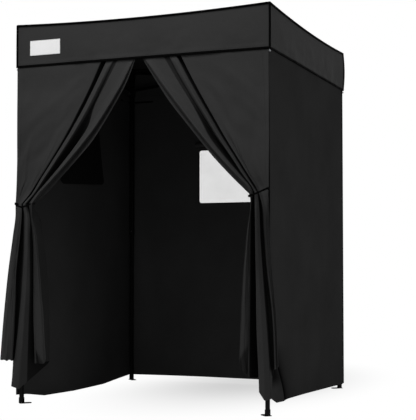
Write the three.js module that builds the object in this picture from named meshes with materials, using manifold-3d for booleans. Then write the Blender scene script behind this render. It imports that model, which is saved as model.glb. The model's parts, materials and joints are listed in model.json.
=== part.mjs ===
// A pop-up fitting room: a folding steel frame on four telescoping legs, with a fabric roof,
// valances, three walls and two curtains that are tied back to the front legs.
// Millimetres, +Z up, the front faces -Y. The origin is the middle of the whole object's footprint.
import * as THREE from 'three';
import { mergeVertices } from 'three/addons/utils/BufferGeometryUtils.js';
import Module from 'manifold-3d';

const wasm = await Module();
wasm.setup();

// Driving dimensions of the canopy and the fabric
const CANOPY_HALF = 760;
const CANOPY_TOP = 2160;
const CANOPY_SAG = 18;
const VALANCE_DROP = 243;
const FABRIC = 1;
const SEAM_GAP = 0.5;
const WALL_FACE = CANOPY_HALF - FABRIC - SEAM_GAP;
const WALL_TOP = 1960;
const WALL_BOTTOM = 45;

// Driving dimensions of the legs
const LEG_OFFSET = 735;
const OUTER_TUBE = 27;
const INNER_TUBE = 21;
const TUBE_WALL = 1;
const TUBE_CORNER = 2.5;
const OUTER_BOTTOM = 1000;
const OUTER_TOP = 2120;
const INNER_TOP = 1150;
const FOOT_THICK = 4;

// Driving dimensions of the folding sides
const OPEN_ANGLE = THREE.MathUtils.degToRad(7);
const PIVOT_REACH = 30;
const TOP_PIVOT = 2125;
const BAR_WIDTH = 17;
const BAR_THICK = 10;
const BAR_WALL = 1;
const BAR_PLANE = 5.6;
const BAR_SPAN = (LEG_OFFSET - PIVOT_REACH) / Math.cos(OPEN_ANGLE);
const CROSS_AT = 0.704 * BAR_SPAN;
const SLIDER_PIVOT = TOP_PIVOT - 2 * CROSS_AT * Math.sin(OPEN_ANGLE);
const BOLT_RADIUS = 3;
const HOLE_RADIUS = 3.8;
const HEAD_RADIUS = 5.6;
const HEAD_THICK = 2;
const RUN_GAP = 0.4;
const BOLT_SIDES = 6;
const HOLE_SIDES = 8;
const END_STEPS = 3;

// Driving dimensions of the windows
const WINDOW_WIDTH = 480;
const WINDOW_HEIGHT = 360;
const BACK_WINDOW_MID = 1400;
const LEFT_WINDOW_MID = 1510;
const WINDOW_CORNER = 30;
const FLAP_MARGIN = 20;
const FLAP_OFFSET = 45;
const ROLL_RADIUS = 15;
const ROLL_GAP = 6;
const ROLL_TIE_WIDTH = 12;
const ROLL_TIE_AT = 0.6;
const ROLL_TIE_TAIL = 14;
const ROLL_TIE_HEAD = 4;

// How far the tied curtains stand forward of the canopy, which sets the middle of the footprint
const CURTAIN_FORWARD = 94.3;
const CENTRE_SHIFT = CURTAIN_FORWARD / 2;

const black = (name, color, roughness, metalness) =>
  new THREE.MeshStandardMaterial({ name, color, roughness, metalness });

const finishes = {
  canopy: black('canopy fabric', 0x303032, 0.85, 0),
  wall: black('wall fabric', 0x262628, 0.88, 0),
  curtain: black('curtain fabric', 0x2c2c2e, 0.85, 0),
  steel: black('black powder-coated steel', 0x151515, 0.45, 0.6),
  plastic: black('black nylon', 0x101010, 0.55, 0),
  zinc: black('zinc-plated steel', 0xb9bcc0, 0.35, 0.9),
  pane: black('clear vinyl', 0xe4e6e8, 0.15, 0),
};

/** A closed geometry as a solid that can be joined and cut. */
function solidOf(geometry) {
  const bare = geometry.clone();
  bare.deleteAttribute('normal');
  bare.deleteAttribute('uv');
  const merged = mergeVertices(bare, 1e-4);
  const mesh = new wasm.Mesh({
    numProp: 3,
    vertProperties: new Float32Array(merged.attributes.position.array),
    triVerts: new Uint32Array(merged.index.array),
  });
  return new wasm.Manifold(mesh);
}

/** A solid back as a geometry that a mesh can hold. */
function geometryOf(solid) {
  const mesh = solid.getMesh();
  const geometry = new THREE.BufferGeometry();
  geometry.setAttribute('position', new THREE.BufferAttribute(new Float32Array(mesh.vertProperties), 3));
  geometry.setIndex(new THREE.BufferAttribute(new Uint32Array(mesh.triVerts), 1));
  geometry.computeVertexNormals();
  return geometry;
}

const join = (solids) => solids.reduce((whole, next) => whole.add(next));
const cut = (solid, tools) => tools.reduce((left, tool) => left.subtract(tool), solid);

/** A rectangular block between two corners. */
function block([x0, y0, z0], [x1, y1, z1]) {
  const box = new THREE.BoxGeometry(x1 - x0, y1 - y0, z1 - z0);
  return solidOf(box.translate((x0 + x1) / 2, (y0 + y1) / 2, (z0 + z1) / 2));
}

/** A round bar between two points that lie along one axis. */
function rod(radius, from, to, sides = BOLT_SIDES, farRadius = radius) {
  const start = new THREE.Vector3(...from);
  const along = new THREE.Vector3(...to).sub(start);
  const round = new THREE.CylinderGeometry(farRadius, radius, along.length(), sides);
  const turn = new THREE.Quaternion().setFromUnitVectors(
    new THREE.Vector3(0, 1, 0),
    along.clone().normalize(),
  );
  round.applyQuaternion(turn);
  const middle = start.addScaledVector(along, 0.5);
  return solidOf(round.translate(middle.x, middle.y, middle.z));
}

/** An outline of a rectangle about the origin with round corners. */
function roundedRectangle(width, height, radius) {
  const [w, h] = [width / 2, height / 2];
  const shape = new THREE.Shape();
  shape.moveTo(w, h - radius);
  shape.absarc(w - radius, h - radius, radius, 0, Math.PI / 2);
  shape.absarc(radius - w, h - radius, radius, Math.PI / 2, Math.PI);
  shape.absarc(radius - w, radius - h, radius, Math.PI, 1.5 * Math.PI);
  shape.absarc(w - radius, radius - h, radius, 1.5 * Math.PI, 2 * Math.PI);
  return shape;
}

/** An outline extruded upwards from z0 to z1. */
function upright(shape, z0, z1, curveSegments = 1) {
  const extruded = new THREE.ExtrudeGeometry(shape, { depth: z1 - z0, bevelEnabled: false, curveSegments });
  return solidOf(extruded.translate(0, 0, z0));
}

/** An outline drawn in X and Z, extruded along Y from y0 to y1. */
function sideways(shape, y0, y1, curveSegments = END_STEPS) {
  const extruded = new THREE.ExtrudeGeometry(shape, { depth: y1 - y0, bevelEnabled: false, curveSegments });
  return solidOf(extruded.rotateX(Math.PI / 2).translate(0, y1, 0));
}

/** A square tube about the Z axis. */
function squareTube(size, z0, z1) {
  const bore = roundedRectangle(size - 2 * TUBE_WALL, size - 2 * TUBE_WALL, TUBE_CORNER - TUBE_WALL);
  return upright(roundedRectangle(size, size, TUBE_CORNER), z0, z1).subtract(upright(bore, z0 - 1, z1 + 1));
}

/** The outline of a flat bar with round ends that reach past its two end pivots. */
function barOutline(radius) {
  const shape = new THREE.Shape();
  shape.moveTo(0, radius);
  shape.absarc(0, 0, radius, Math.PI / 2, 1.5 * Math.PI);
  shape.lineTo(BAR_SPAN, -radius);
  shape.absarc(BAR_SPAN, 0, radius, -Math.PI / 2, Math.PI / 2);
  return shape;
}

/**
 * A hollow bar along +X from its end pivot, with a hole where it turns on another piece's bolt,
 * and its own bolt, headed at both ends, where another bar turns on it. toward is the side, in Y,
 * on which that other bar lies.
 */
function bar({ holes, bolts = [], toward = 1 }) {
  const half = BAR_THICK / 2;
  const shell = sideways(barOutline(BAR_WIDTH / 2), -half, half).subtract(
    sideways(barOutline(BAR_WIDTH / 2 - BAR_WALL), BAR_WALL - half, half - BAR_WALL, 2),
  );
  const hole = (x) => rod(HOLE_RADIUS, [x, -half - 1, 0], [x, half + 1, 0], HOLE_SIDES);
  const bored = cut(shell, holes.map(hole));
  const farFace = 2 * BAR_PLANE + half + RUN_GAP;
  const pins = bolts.flatMap((x) => [
    rod(BOLT_RADIUS, [x, -toward * half, 0], [x, toward * (farFace + 1), 0]),
    rod(HEAD_RADIUS, [x, toward * farFace, 0], [x, toward * (farFace + HEAD_THICK), 0]),
    rod(HEAD_RADIUS, [x, toward * (1 - half), 0], [x, -toward * (half + HEAD_THICK), 0]),
  ]);
  return geometryOf(join([bored, ...pins]));
}

/** The four kinds of bar that make one folding side, seen from outside with the first leg at the left. */
const barKinds = {
  nearHigh: { holes: [0], bolts: [CROSS_AT, BAR_SPAN], toward: -1 },
  farHigh: { holes: [0, BAR_SPAN], bolts: [CROSS_AT], toward: 1 },
  nearLow: { holes: [0, CROSS_AT], bolts: [BAR_SPAN], toward: 1 },
  farLow: { holes: [0, CROSS_AT, BAR_SPAN] },
};

/** One folding side: two crossed pairs of bars that meet in the middle, between its two legs. */
function foldingSide(names) {
  const side = new THREE.Group();
  const reach = LEG_OFFSET - PIVOT_REACH;
  const places = [
    ['nearHigh', -reach, BAR_PLANE, TOP_PIVOT, OPEN_ANGLE],
    ['farHigh', reach, -BAR_PLANE, TOP_PIVOT, Math.PI - OPEN_ANGLE],
    ['nearLow', -reach, -BAR_PLANE, SLIDER_PIVOT, -OPEN_ANGLE],
    ['farLow', reach, BAR_PLANE, SLIDER_PIVOT, Math.PI + OPEN_ANGLE],
  ];
  for (const [kind, x, y, z, turn] of places) {
    const mesh = new THREE.Mesh(bar(barKinds[kind]), finishes.steel);
    mesh.name = names[kind];
    mesh.position.set(x, y, z);
    mesh.rotation.y = turn;
    side.add(mesh);
  }
  return side;
}

const CHEEK_THICK = 2.2;
const CHEEK_MARGIN = 1;
const CHEEK_FLARE = 4;
const CHEEK_ROOT = 2;

/**
 * A fork that holds a bar's end: two cheeks and a headed bolt, reaching along +X from a block
 * about the leg. plane is the middle of the bar in Y, and rise the pivot's height.
 */
function fork(plane, rise, blockHalf) {
  const radius = BAR_WIDTH / 2 + CHEEK_MARGIN;
  const cheek = new THREE.Shape();
  cheek.moveTo(blockHalf - CHEEK_ROOT, radius + CHEEK_FLARE);
  cheek.lineTo(blockHalf, radius + CHEEK_FLARE);
  cheek.lineTo(PIVOT_REACH, radius);
  cheek.absarc(PIVOT_REACH, 0, radius, Math.PI / 2, -Math.PI / 2, true);
  cheek.lineTo(blockHalf, -radius - CHEEK_FLARE);
  cheek.lineTo(blockHalf - CHEEK_ROOT, -radius - CHEEK_FLARE);
  const inner = BAR_THICK / 2 + RUN_GAP;
  const outer = inner + CHEEK_THICK;
  const cheeks = [-1, 1].map((way) =>
    sideways(cheek, Math.min(way * inner, way * outer), Math.max(way * inner, way * outer)),
  );
  const bolt = [
    rod(BOLT_RADIUS, [PIVOT_REACH, -outer, 0], [PIVOT_REACH, outer, 0]),
    rod(HEAD_RADIUS, [PIVOT_REACH, outer - 1, 0], [PIVOT_REACH, outer + HEAD_THICK, 0]),
    rod(HEAD_RADIUS, [PIVOT_REACH, 1 - outer, 0], [PIVOT_REACH, -outer - HEAD_THICK, 0]),
  ];
  return join([...cheeks, ...bolt]).translate([0, plane, rise]);
}

/** Turns a solid made to reach along +X so that it reaches along an inward side of a corner. */
const turned = (solid, quarters) => solid.rotate([0, 0, 90 * quarters]);

/**
 * The two forks of a corner. inward holds, for each of its two sides, the quarter turn that points
 * along that side and the sign of the bar's plane once turned there.
 */
const forks = (inward, level, rise) =>
  join(
    inward.map(({ quarters, planes }) =>
      turned(fork(planes[level] * BAR_PLANE, rise, MOULD_HALF), quarters),
    ),
  );

// The moulded brackets and sliders: a square block round the leg with a raised lip
const MOULD_HALF = 18;
const MOULD_CORNER = 5;
const LIP_PROUD = 2;
const LIP_HEIGHT = 6;
const BRACKET_BOTTOM = 2084;
const BRACKET_TOP = 2152;
const BRACKET_EDGE = 2;

/** A square block about the leg's axis between two levels, proud of the moulding's own faces or flush. */
const mouldedBlock = (z0, z1, proud = 0) =>
  upright(
    roundedRectangle(2 * (MOULD_HALF + proud), 2 * (MOULD_HALF + proud), MOULD_CORNER + proud / 2),
    z0,
    z1,
  );

/** The bracket capped over a leg's top end, with the forks that the upper bars turn in. */
function cornerBracket(inward) {
  const shell = mouldedBlock(BRACKET_BOTTOM, BRACKET_TOP);
  const lip = mouldedBlock(BRACKET_TOP - LIP_HEIGHT, BRACKET_TOP - BRACKET_EDGE, LIP_PROUD);
  const size = OUTER_TUBE + 2 * RUN_GAP;
  const socket = upright(roundedRectangle(size, size, TUBE_CORNER), BRACKET_BOTTOM - 1, OUTER_TOP + RUN_GAP);
  return geometryOf(cut(join([shell, lip, forks(inward, 'high', TOP_PIVOT)]), [socket]));
}

const SLIDER_DOWN = 40;
const SLIDER_UP = 14;
const PIN_DROP = 27;
const PIN_LEVEL = SLIDER_PIVOT - PIN_DROP;
const BOSS_LENGTH = 12;
const BOSS_RADIUS = 7.5;
const PIN_RADIUS = 3;
const PIN_TIP_GAP = 0.8;
const KNOB_RADIUS = 5.5;
const KNOB_FAR_RADIUS = 4;
const KNOB_LENGTH = 5;
const PULL_RING_RADIUS = 9;
const PULL_RING_WIRE = 1.2;
const ROUND_SIDES = 10;
const RING_STEPS = 14;

/** The slider that runs on a leg's outer tube, with its lower bars' forks and a boss for its pull pin. */
function slider(inward, pinQuarters) {
  const [bottom, top] = [SLIDER_PIVOT - SLIDER_DOWN, SLIDER_PIVOT + SLIDER_UP];
  const collar = mouldedBlock(bottom, bottom + LIP_HEIGHT, LIP_PROUD);
  const size = OUTER_TUBE + 3 * RUN_GAP;
  const bore = upright(roundedRectangle(size, size, TUBE_CORNER), bottom - 1, top + 1);
  const bossEnd = MOULD_HALF + BOSS_LENGTH;
  const boss = rod(BOSS_RADIUS, [MOULD_HALF - 2, 0, PIN_LEVEL], [bossEnd, 0, PIN_LEVEL], ROUND_SIDES);
  const way = rod(PIN_RADIUS + RUN_GAP, [0, 0, PIN_LEVEL], [bossEnd + 1, 0, PIN_LEVEL]);
  const sleeve = mouldedBlock(bottom, top);
  const body = join([sleeve, collar, turned(boss, pinQuarters), forks(inward, 'low', SLIDER_PIVOT)]);
  return geometryOf(cut(body, [bore, turned(way, pinQuarters)]));
}

/** The pin that locks a slider, with its knob and pull ring. Its tip stops just short of the tube. */
function pullPin(pinQuarters) {
  const tip = OUTER_TUBE / 2 + PIN_TIP_GAP;
  const knobStart = MOULD_HALF + BOSS_LENGTH + RUN_GAP;
  const knobEnd = knobStart + KNOB_LENGTH;
  const ring = new THREE.TorusGeometry(PULL_RING_RADIUS, PULL_RING_WIRE, 4, RING_STEPS);
  ring.rotateX(Math.PI / 2).translate(knobEnd + PULL_RING_RADIUS - PULL_RING_WIRE, 0, PIN_LEVEL);
  const pin = join([
    rod(PIN_RADIUS, [tip, 0, PIN_LEVEL], [knobStart + 1, 0, PIN_LEVEL]),
    rod(KNOB_RADIUS, [knobStart, 0, PIN_LEVEL], [knobEnd, 0, PIN_LEVEL], ROUND_SIDES, KNOB_FAR_RADIUS),
    solidOf(ring),
  ]);
  return geometryOf(turned(pin, pinQuarters));
}

const LOCK_LEVEL = 1024;
const LOCK_HOLE = 4;
const BUTTON_RADIUS = 3.2;
const BUTTON_PROUD = 1.4;
const BUTTON_SHOULDER = 0.4;
const BUTTON_DOME = 0.7;
const BUTTON_DEEP = 4;
const FLANGE_RADIUS = 5.4;
const FLANGE_THICK = 1.5;
const LEG_HOLE_PITCH = 60;
const LEG_HOLES = 3;

/** A leg's outer tube, with holes for the slider's pin and for the inner leg's button. */
function outerLeg(pinQuarters) {
  const pinHole = rod(PIN_RADIUS + RUN_GAP, [OUTER_TUBE / 4, 0, PIN_LEVEL], [OUTER_TUBE, 0, PIN_LEVEL]);
  const buttonHole = rod(LOCK_HOLE, [OUTER_TUBE / 4, 0, LOCK_LEVEL], [OUTER_TUBE, 0, LOCK_LEVEL]);
  const holes = [pinHole, buttonHole].map((hole) => turned(hole, pinQuarters));
  return geometryOf(cut(squareTube(OUTER_TUBE, OUTER_BOTTOM, OUTER_TOP), holes));
}

/** A leg's inner tube, with the hole that its button looks out of and the lower height-setting holes. */
function innerLeg(pinQuarters) {
  const holes = Array.from({ length: LEG_HOLES }, (_, i) => {
    const level = LOCK_LEVEL - i * LEG_HOLE_PITCH;
    return turned(rod(LOCK_HOLE, [INNER_TUBE / 4, 0, level], [INNER_TUBE, 0, level]), pinQuarters);
  });
  return geometryOf(cut(squareTube(INNER_TUBE, FOOT_THICK + RUN_GAP, INNER_TOP), holes));
}

/** The sprung button in the inner leg: a domed stud on a flange that stays behind the tube's wall. */
function legButton(pinQuarters) {
  const face = INNER_TUBE / 2;
  const behind = face - TUBE_WALL - RUN_GAP;
  const at = (x) => [x, 0, LOCK_LEVEL];
  const [shoulder, top] = [face + BUTTON_SHOULDER, face + BUTTON_PROUD];
  const stud = join([
    rod(BUTTON_RADIUS, at(face - BUTTON_DEEP), at(shoulder)),
    rod(BUTTON_RADIUS, at(shoulder), at(top), BOLT_SIDES, BUTTON_RADIUS * BUTTON_DOME),
    rod(FLANGE_RADIUS, at(behind - FLANGE_THICK), at(behind)),
  ]);
  return geometryOf(turned(stud, pinQuarters));
}

const FOOT_CUP_HALF = INNER_TUBE / 2 + 2.4;
const FOOT_CUP_TOP = 34;
const FOOT_REACH = 58;
const FOOT_HALF_WIDTH = 18;
const FOOT_TAIL = 12;
const FOOT_HOLE = 6;
const FOOT_CUP_CORNER = 4;
const FOOT_ARC_STEPS = 5;

/** A foot: a cup round the leg's end on a round-ended plate that reaches inwards, with a peg hole. */
function foot(towardX, towardY) {
  const holeAt = FOOT_REACH - FOOT_HALF_WIDTH;
  const outline = new THREE.Shape();
  outline.moveTo(-FOOT_TAIL, -FOOT_HALF_WIDTH);
  outline.lineTo(holeAt, -FOOT_HALF_WIDTH);
  outline.absarc(holeAt, 0, FOOT_HALF_WIDTH, -Math.PI / 2, Math.PI / 2);
  outline.lineTo(-FOOT_TAIL, FOOT_HALF_WIDTH);
  const plate = upright(outline, 0, FOOT_THICK, FOOT_ARC_STEPS);
  const cupOutline = roundedRectangle(2 * FOOT_CUP_HALF, 2 * FOOT_CUP_HALF, FOOT_CUP_CORNER);
  const cup = upright(cupOutline, FOOT_THICK - 1, FOOT_CUP_TOP);
  const seatSize = INNER_TUBE + 2 * RUN_GAP;
  const seat = upright(roundedRectangle(seatSize, seatSize, TUBE_CORNER), FOOT_THICK, FOOT_CUP_TOP + 1);
  const peg = rod(FOOT_HOLE, [holeAt, 0, -1], [holeAt, 0, FOOT_THICK + 1], HOLE_SIDES);
  const turn = THREE.MathUtils.radToDeg(Math.atan2(towardY, towardX));
  // the plate lies diagonally and the cup stays square to the leg
  return geometryOf(cut(join([cut(plate, [peg]).rotate([0, 0, turn]), cup]), [seat]));
}

/**
 * A closed sheet of cloth. point gives the place of its middle layer for u and v from 0 to 1, and
 * the two faces lie half a thickness to each side of it along the sheet's normal.
 */
function clothSheet(point, across, down, thickness = FABRIC) {
  const share = (i, steps) => THREE.MathUtils.clamp(i / steps, 0, 1);
  const middle = (i, j) => point(share(i, across), share(j, down));
  const normalAt = (i, j) => {
    const alongU = middle(i + 0.5, j).sub(middle(i - 0.5, j));
    const alongV = middle(i, j + 0.5).sub(middle(i, j - 0.5));
    return alongU.cross(alongV).normalize();
  };
  const positions = [];
  for (const way of [1, -1]) {
    for (let j = 0; j <= down; j += 1) {
      for (let i = 0; i <= across; i += 1) {
        const corner = middle(i, j).addScaledVector(normalAt(i, j), (way * thickness) / 2);
        positions.push(corner.x, corner.y, corner.z);
      }
    }
  }
  const layer = (across + 1) * (down + 1);
  const at = (i, j, back) => back * layer + j * (across + 1) + i;
  const index = [];
  const quad = (a, b, c, d) => index.push(a, b, c, a, c, d);
  for (let j = 0; j < down; j += 1) {
    for (let i = 0; i < across; i += 1) {
      quad(at(i, j, 0), at(i + 1, j, 0), at(i + 1, j + 1, 0), at(i, j + 1, 0));
      quad(at(i, j, 1), at(i, j + 1, 1), at(i + 1, j + 1, 1), at(i + 1, j, 1));
    }
  }
  for (let i = 0; i < across; i += 1) {
    quad(at(i, 0, 1), at(i + 1, 0, 1), at(i + 1, 0, 0), at(i, 0, 0));
    quad(at(i, down, 0), at(i + 1, down, 0), at(i + 1, down, 1), at(i, down, 1));
  }
  for (let j = 0; j < down; j += 1) {
    quad(at(0, j, 0), at(0, j + 1, 0), at(0, j + 1, 1), at(0, j, 1));
    quad(at(across, j, 1), at(across, j + 1, 1), at(across, j + 1, 0), at(across, j, 0));
  }
  const geometry = new THREE.BufferGeometry();
  geometry.setAttribute('position', new THREE.Float32BufferAttribute(positions, 3));
  geometry.setIndex(index);
  geometry.computeVertexNormals();
  return geometry;
}

/** How far a taut edge or the roof hangs below its corners, at a share of the half width from -1 to 1. */
const sagAt = (share) => CANOPY_SAG * (1 - share * share);

/** Half of the roof, from the middle seam out to one side. */
function roofHalf(side) {
  const edge = CANOPY_HALF - FABRIC - RUN_GAP;
  return clothSheet(
    (u, v) => {
      const across = RUN_GAP / 2 + u * (edge - RUN_GAP / 2);
      const deep = (2 * v - 1) * edge;
      const height = CANOPY_TOP - FABRIC / 2 - sagAt(across / edge) - sagAt(deep / edge);
      return new THREE.Vector3(side * across, -side * deep, height);
    },
    8,
    10,
  );
}

/** A valance: a band that hangs from the roof's edge, drawn along X about the middle of its side. */
function valance(halfLength) {
  const steps = 12;
  const outline = new THREE.Shape();
  outline.moveTo(-halfLength, CANOPY_TOP - VALANCE_DROP);
  outline.lineTo(halfLength, CANOPY_TOP - VALANCE_DROP);
  for (let i = 0; i <= steps; i += 1) {
    const share = 1 - (2 * i) / steps;
    outline.lineTo(share * halfLength, CANOPY_TOP - sagAt(share));
  }
  return geometryOf(sideways(outline, -FABRIC / 2, FABRIC / 2));
}

/** A window's outline about a level, bigger than the opening by a margin. */
const windowOutline = (grow) =>
  roundedRectangle(WINDOW_WIDTH + 2 * grow, WINDOW_HEIGHT + 2 * grow, WINDOW_CORNER + grow);

/** A wall drawn along X about the middle of its side, with or without a window. */
function wall(halfLength, windowMid, extra = []) {
  const sheet = block([-halfLength, -FABRIC / 2, WALL_BOTTOM], [halfLength, FABRIC / 2, WALL_TOP]);
  if (!windowMid) return geometryOf(sheet);
  const opening = sideways(windowOutline(0), -FABRIC, FABRIC, 2).translate([0, 0, windowMid]);
  return geometryOf(join([cut(sheet, [opening]), ...extra]));
}

/** The window cover rolled up and tied above the back window, with its two ties, on the +Y inner side. */
function rolledCover() {
  const level = BACK_WINDOW_MID + WINDOW_HEIGHT / 2 + 2 * ROLL_RADIUS + ROLL_GAP;
  const half = WINDOW_WIDTH / 2 + FLAP_MARGIN;
  const deep = ROLL_RADIUS - FABRIC;
  const roll = rod(ROLL_RADIUS, [-half, deep, level], [half, deep, level], ROUND_SIDES);
  const ties = [-1, 1].map((way) =>
    block(
      [way * half * ROLL_TIE_AT - ROLL_TIE_WIDTH / 2, -FABRIC / 2, level - ROLL_RADIUS - ROLL_TIE_TAIL],
      [way * half * ROLL_TIE_AT + ROLL_TIE_WIDTH / 2, 2 * ROLL_RADIUS, level + ROLL_RADIUS + ROLL_TIE_HEAD],
    ),
  );
  return [roll, ...ties];
}

/** A clear vinyl pane that fills a window's opening. */
const windowPane = (mid) =>
  geometryOf(sideways(windowOutline(-RUN_GAP), -FABRIC / 2, FABRIC / 2, 2).translate([0, 0, mid]));

/** The loose cover that hangs over the left window, leaning into the room from its top seam. */
function windowFlap() {
  const top = LEFT_WINDOW_MID + WINDOW_HEIGHT / 2 + FLAP_MARGIN;
  const length = WINDOW_HEIGHT + 2 * FLAP_MARGIN;
  const lean = Math.asin(FLAP_OFFSET / length);
  const cover = sideways(windowOutline(FLAP_MARGIN), 0, FABRIC, 2).translate([0, 0, -length / 2]);
  return geometryOf(cover.rotate([THREE.MathUtils.radToDeg(lean), 0, 0]).translate([0, 0, top]));
}

// The tied curtains: widths run from the corner towards the middle of the front
const CURTAIN_WIDTH = 732;
const CORNER_IN = 4;
const CURTAIN_TOP = 1955;
const CURTAIN_FOLDS = 5;
const TIE_LEVEL = 1156;
const TIE_OUTER = -22;
const TIE_INNER = 98;
const TIE_FORWARD = 50;
const HEM_OUTER = -78;
const HEM_INNER = 162;
const HEM_FORWARD = 50;
const FOLD_FILL = 0.235;
const TOP_FLAT = 0.09;
const BUNDLE_ROUND = 0.95;
const EDGE_PULL = new THREE.Vector2(-125, -350);

/** How deep the folds must be for the whole width of the cloth to fit a narrower span. */
const foldDepth = (span) =>
  (FOLD_FILL * Math.sqrt(Math.max(0, CURTAIN_WIDTH ** 2 - span ** 2))) / CURTAIN_FOLDS;

/** How the strap rounds the bundle off: near the tie, the folds are shallower towards its two edges. */
const roundness = (u, nearTie) =>
  THREE.MathUtils.lerp(1, Math.sqrt(1 - (BUNDLE_ROUND * (2 * u - 1)) ** 2), nearTie ** 4);

/**
 * A point of a curtain's middle layer. u runs from the corner to the open edge and v from the top
 * to the hem. The first half of v fans from the valance down to the tie, and the second falls from it.
 * The result is the distance from the corner, the distance forward of the wall line, and the height.
 */
function curtainPoint(u, v, hemHeight) {
  const tieX = THREE.MathUtils.lerp(TIE_OUTER, TIE_INNER, u);
  const wave = Math.sin(2 * Math.PI * CURTAIN_FOLDS * u);
  if (v <= 0.5) {
    const t = 2 * v;
    const topX = CORNER_IN + u * CURTAIN_WIDTH;
    const pull = u ** 1.5;
    const bendX = (topX + tieX) / 2 + pull * EDGE_PULL.x;
    const bendZ = (CURTAIN_TOP + TIE_LEVEL) / 2 + pull * EDGE_PULL.y;
    const curve = (a, b, c) => (1 - t) ** 2 * a + 2 * t * (1 - t) * b + t * t * c;
    const span = THREE.MathUtils.lerp(CURTAIN_WIDTH, TIE_INNER - TIE_OUTER, t);
    const free = Math.max(0, (t - TOP_FLAT) / (1 - TOP_FLAT));
    const depth = foldDepth(span) * free;
    return [
      curve(topX, bendX, tieX),
      free * free * TIE_FORWARD + depth * roundness(u, t) * wave,
      curve(CURTAIN_TOP, bendZ, TIE_LEVEL),
    ];
  }
  const t = 2 * v - 1;
  const spread = Math.sin((t * Math.PI) / 2);
  const hemX = THREE.MathUtils.lerp(HEM_OUTER, HEM_INNER, u);
  const span = THREE.MathUtils.lerp(TIE_INNER - TIE_OUTER, HEM_INNER - HEM_OUTER, spread);
  return [
    THREE.MathUtils.lerp(tieX, hemX, spread),
    THREE.MathUtils.lerp(TIE_FORWARD, HEM_FORWARD, t) + foldDepth(span) * roundness(u, 1 - t) * wave,
    THREE.MathUtils.lerp(TIE_LEVEL, hemHeight(u), t),
  ];
}

/** A tied curtain. side is -1 for the left one and 1 for the right one. */
function curtain(side, hemHeight) {
  return clothSheet(
    (u, v) => {
      const [inward, forward, height] = curtainPoint(side < 0 ? u : 1 - u, v, hemHeight);
      return new THREE.Vector3(side * (CANOPY_HALF - inward), -WALL_FACE + FABRIC / 2 - forward, height);
    },
    26,
    14,
  );
}

const smooth = (from, to, x) => THREE.MathUtils.smoothstep(x, from, to);

/** The heights of the hems: each bundle is lowest at its middle fold and rises towards its gathered edges. */
const leftHem = (u) => 62 + 170 * smooth(0.55, 1, u) + 160 * smooth(0.62, 1, 1 - u);
const rightHem = (u) => 78 + 150 * smooth(0.5, 1, u);

const TIE_BAND = 24;
const TIE_THICK = 1.5;
const TIE_EASE = 11;

/** The strap that holds a curtain's bundle to its leg: a band round the bundle and a tail to the leg. */
function tieback(side) {
  const middle = (TIE_OUTER + TIE_INNER) / 2;
  const acrossHalf = (TIE_INNER - TIE_OUTER) / 2 + TIE_EASE;
  const deepHalf = foldDepth(TIE_INNER - TIE_OUTER) + TIE_EASE;
  const oval = (grow) => {
    const shape = new THREE.Shape();
    shape.absellipse(0, 0, acrossHalf + grow, deepHalf + grow, 0, 2 * Math.PI);
    return shape;
  };
  const [low, high] = [TIE_LEVEL - TIE_BAND, TIE_LEVEL];
  const band = upright(oval(TIE_THICK), low, high, 9).subtract(upright(oval(0), low - 1, high + 1, 9));
  return geometryOf(band.translate([side * (CANOPY_HALF - middle), -WALL_FACE - TIE_FORWARD, 0]));
}

const object = new THREE.Group();
const built = new THREE.Group();
built.position.y = CENTRE_SHIFT;
object.add(built);

/** Adds a named sub-part to a group. */
function add(name, geometry, finish, parent = built) {
  const mesh = new THREE.Mesh(geometry, finish);
  mesh.name = name;
  parent.add(mesh);
  return mesh;
}

// Each corner: its signs in X and Y, and its two inward sides. On a side that runs along X the first
// plane of bars lies towards +Y, and on one that runs along Y it lies towards -X.
const alongX = (way, first) => ({
  quarters: way > 0 ? 0 : 2,
  planes: { high: way * (first ? 1 : -1), low: way * (first ? -1 : 1) },
});
const alongY = (way, first) => ({
  quarters: way > 0 ? 1 : 3,
  planes: { high: way * (first ? 1 : -1), low: way * (first ? -1 : 1) },
});
const corners = [
  { name: 'front_left', x: -1, y: -1, inward: [alongX(1, true), alongY(1, true)] },
  { name: 'front_right', x: 1, y: -1, inward: [alongX(-1, false), alongY(1, true)] },
  { name: 'back_left', x: -1, y: 1, inward: [alongX(1, true), alongY(-1, false)] },
  { name: 'back_right', x: 1, y: 1, inward: [alongX(-1, false), alongY(-1, false)] },
];

for (const { name, x, y, inward } of corners) {
  const corner = new THREE.Group();
  corner.position.set(x * LEG_OFFSET, y * LEG_OFFSET, 0);
  built.add(corner);
  const pinQuarters = y < 0 ? 1 : 3;
  add(`outer_leg_${name}`, outerLeg(pinQuarters), finishes.steel, corner);
  add(`inner_leg_${name}`, innerLeg(pinQuarters), finishes.steel, corner);
  add(`leg_button_${name}`, legButton(pinQuarters), finishes.zinc, corner);
  add(`foot_${name}`, foot(-x, -y), finishes.zinc, corner);
  add(`corner_bracket_${name}`, cornerBracket(inward), finishes.plastic, corner);
  add(`slider_${name}`, slider(inward, pinQuarters), finishes.plastic, corner);
  add(`slider_pin_${name}`, pullPin(pinQuarters), finishes.zinc, corner);
}

const sides = [
  { name: 'front', near: 'left', far: 'right', x: 0, y: -LEG_OFFSET, turn: 0 },
  { name: 'back', near: 'left', far: 'right', x: 0, y: LEG_OFFSET, turn: 0 },
  { name: 'left', near: 'front', far: 'back', x: -LEG_OFFSET, y: 0, turn: Math.PI / 2 },
  { name: 'right', near: 'front', far: 'back', x: LEG_OFFSET, y: 0, turn: Math.PI / 2 },
];
for (const { name, near, far, x, y, turn } of sides) {
  const side = foldingSide({
    nearHigh: `${name}_bar_${near}_high`,
    nearLow: `${name}_bar_${near}_low`,
    farHigh: `${name}_bar_${far}_high`,
    farLow: `${name}_bar_${far}_low`,
  });
  side.position.set(x, y, 0);
  side.rotation.z = turn;
  built.add(side);
}

add('roof_left', roofHalf(-1), finishes.canopy);
add('roof_right', roofHalf(1), finishes.canopy);

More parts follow.
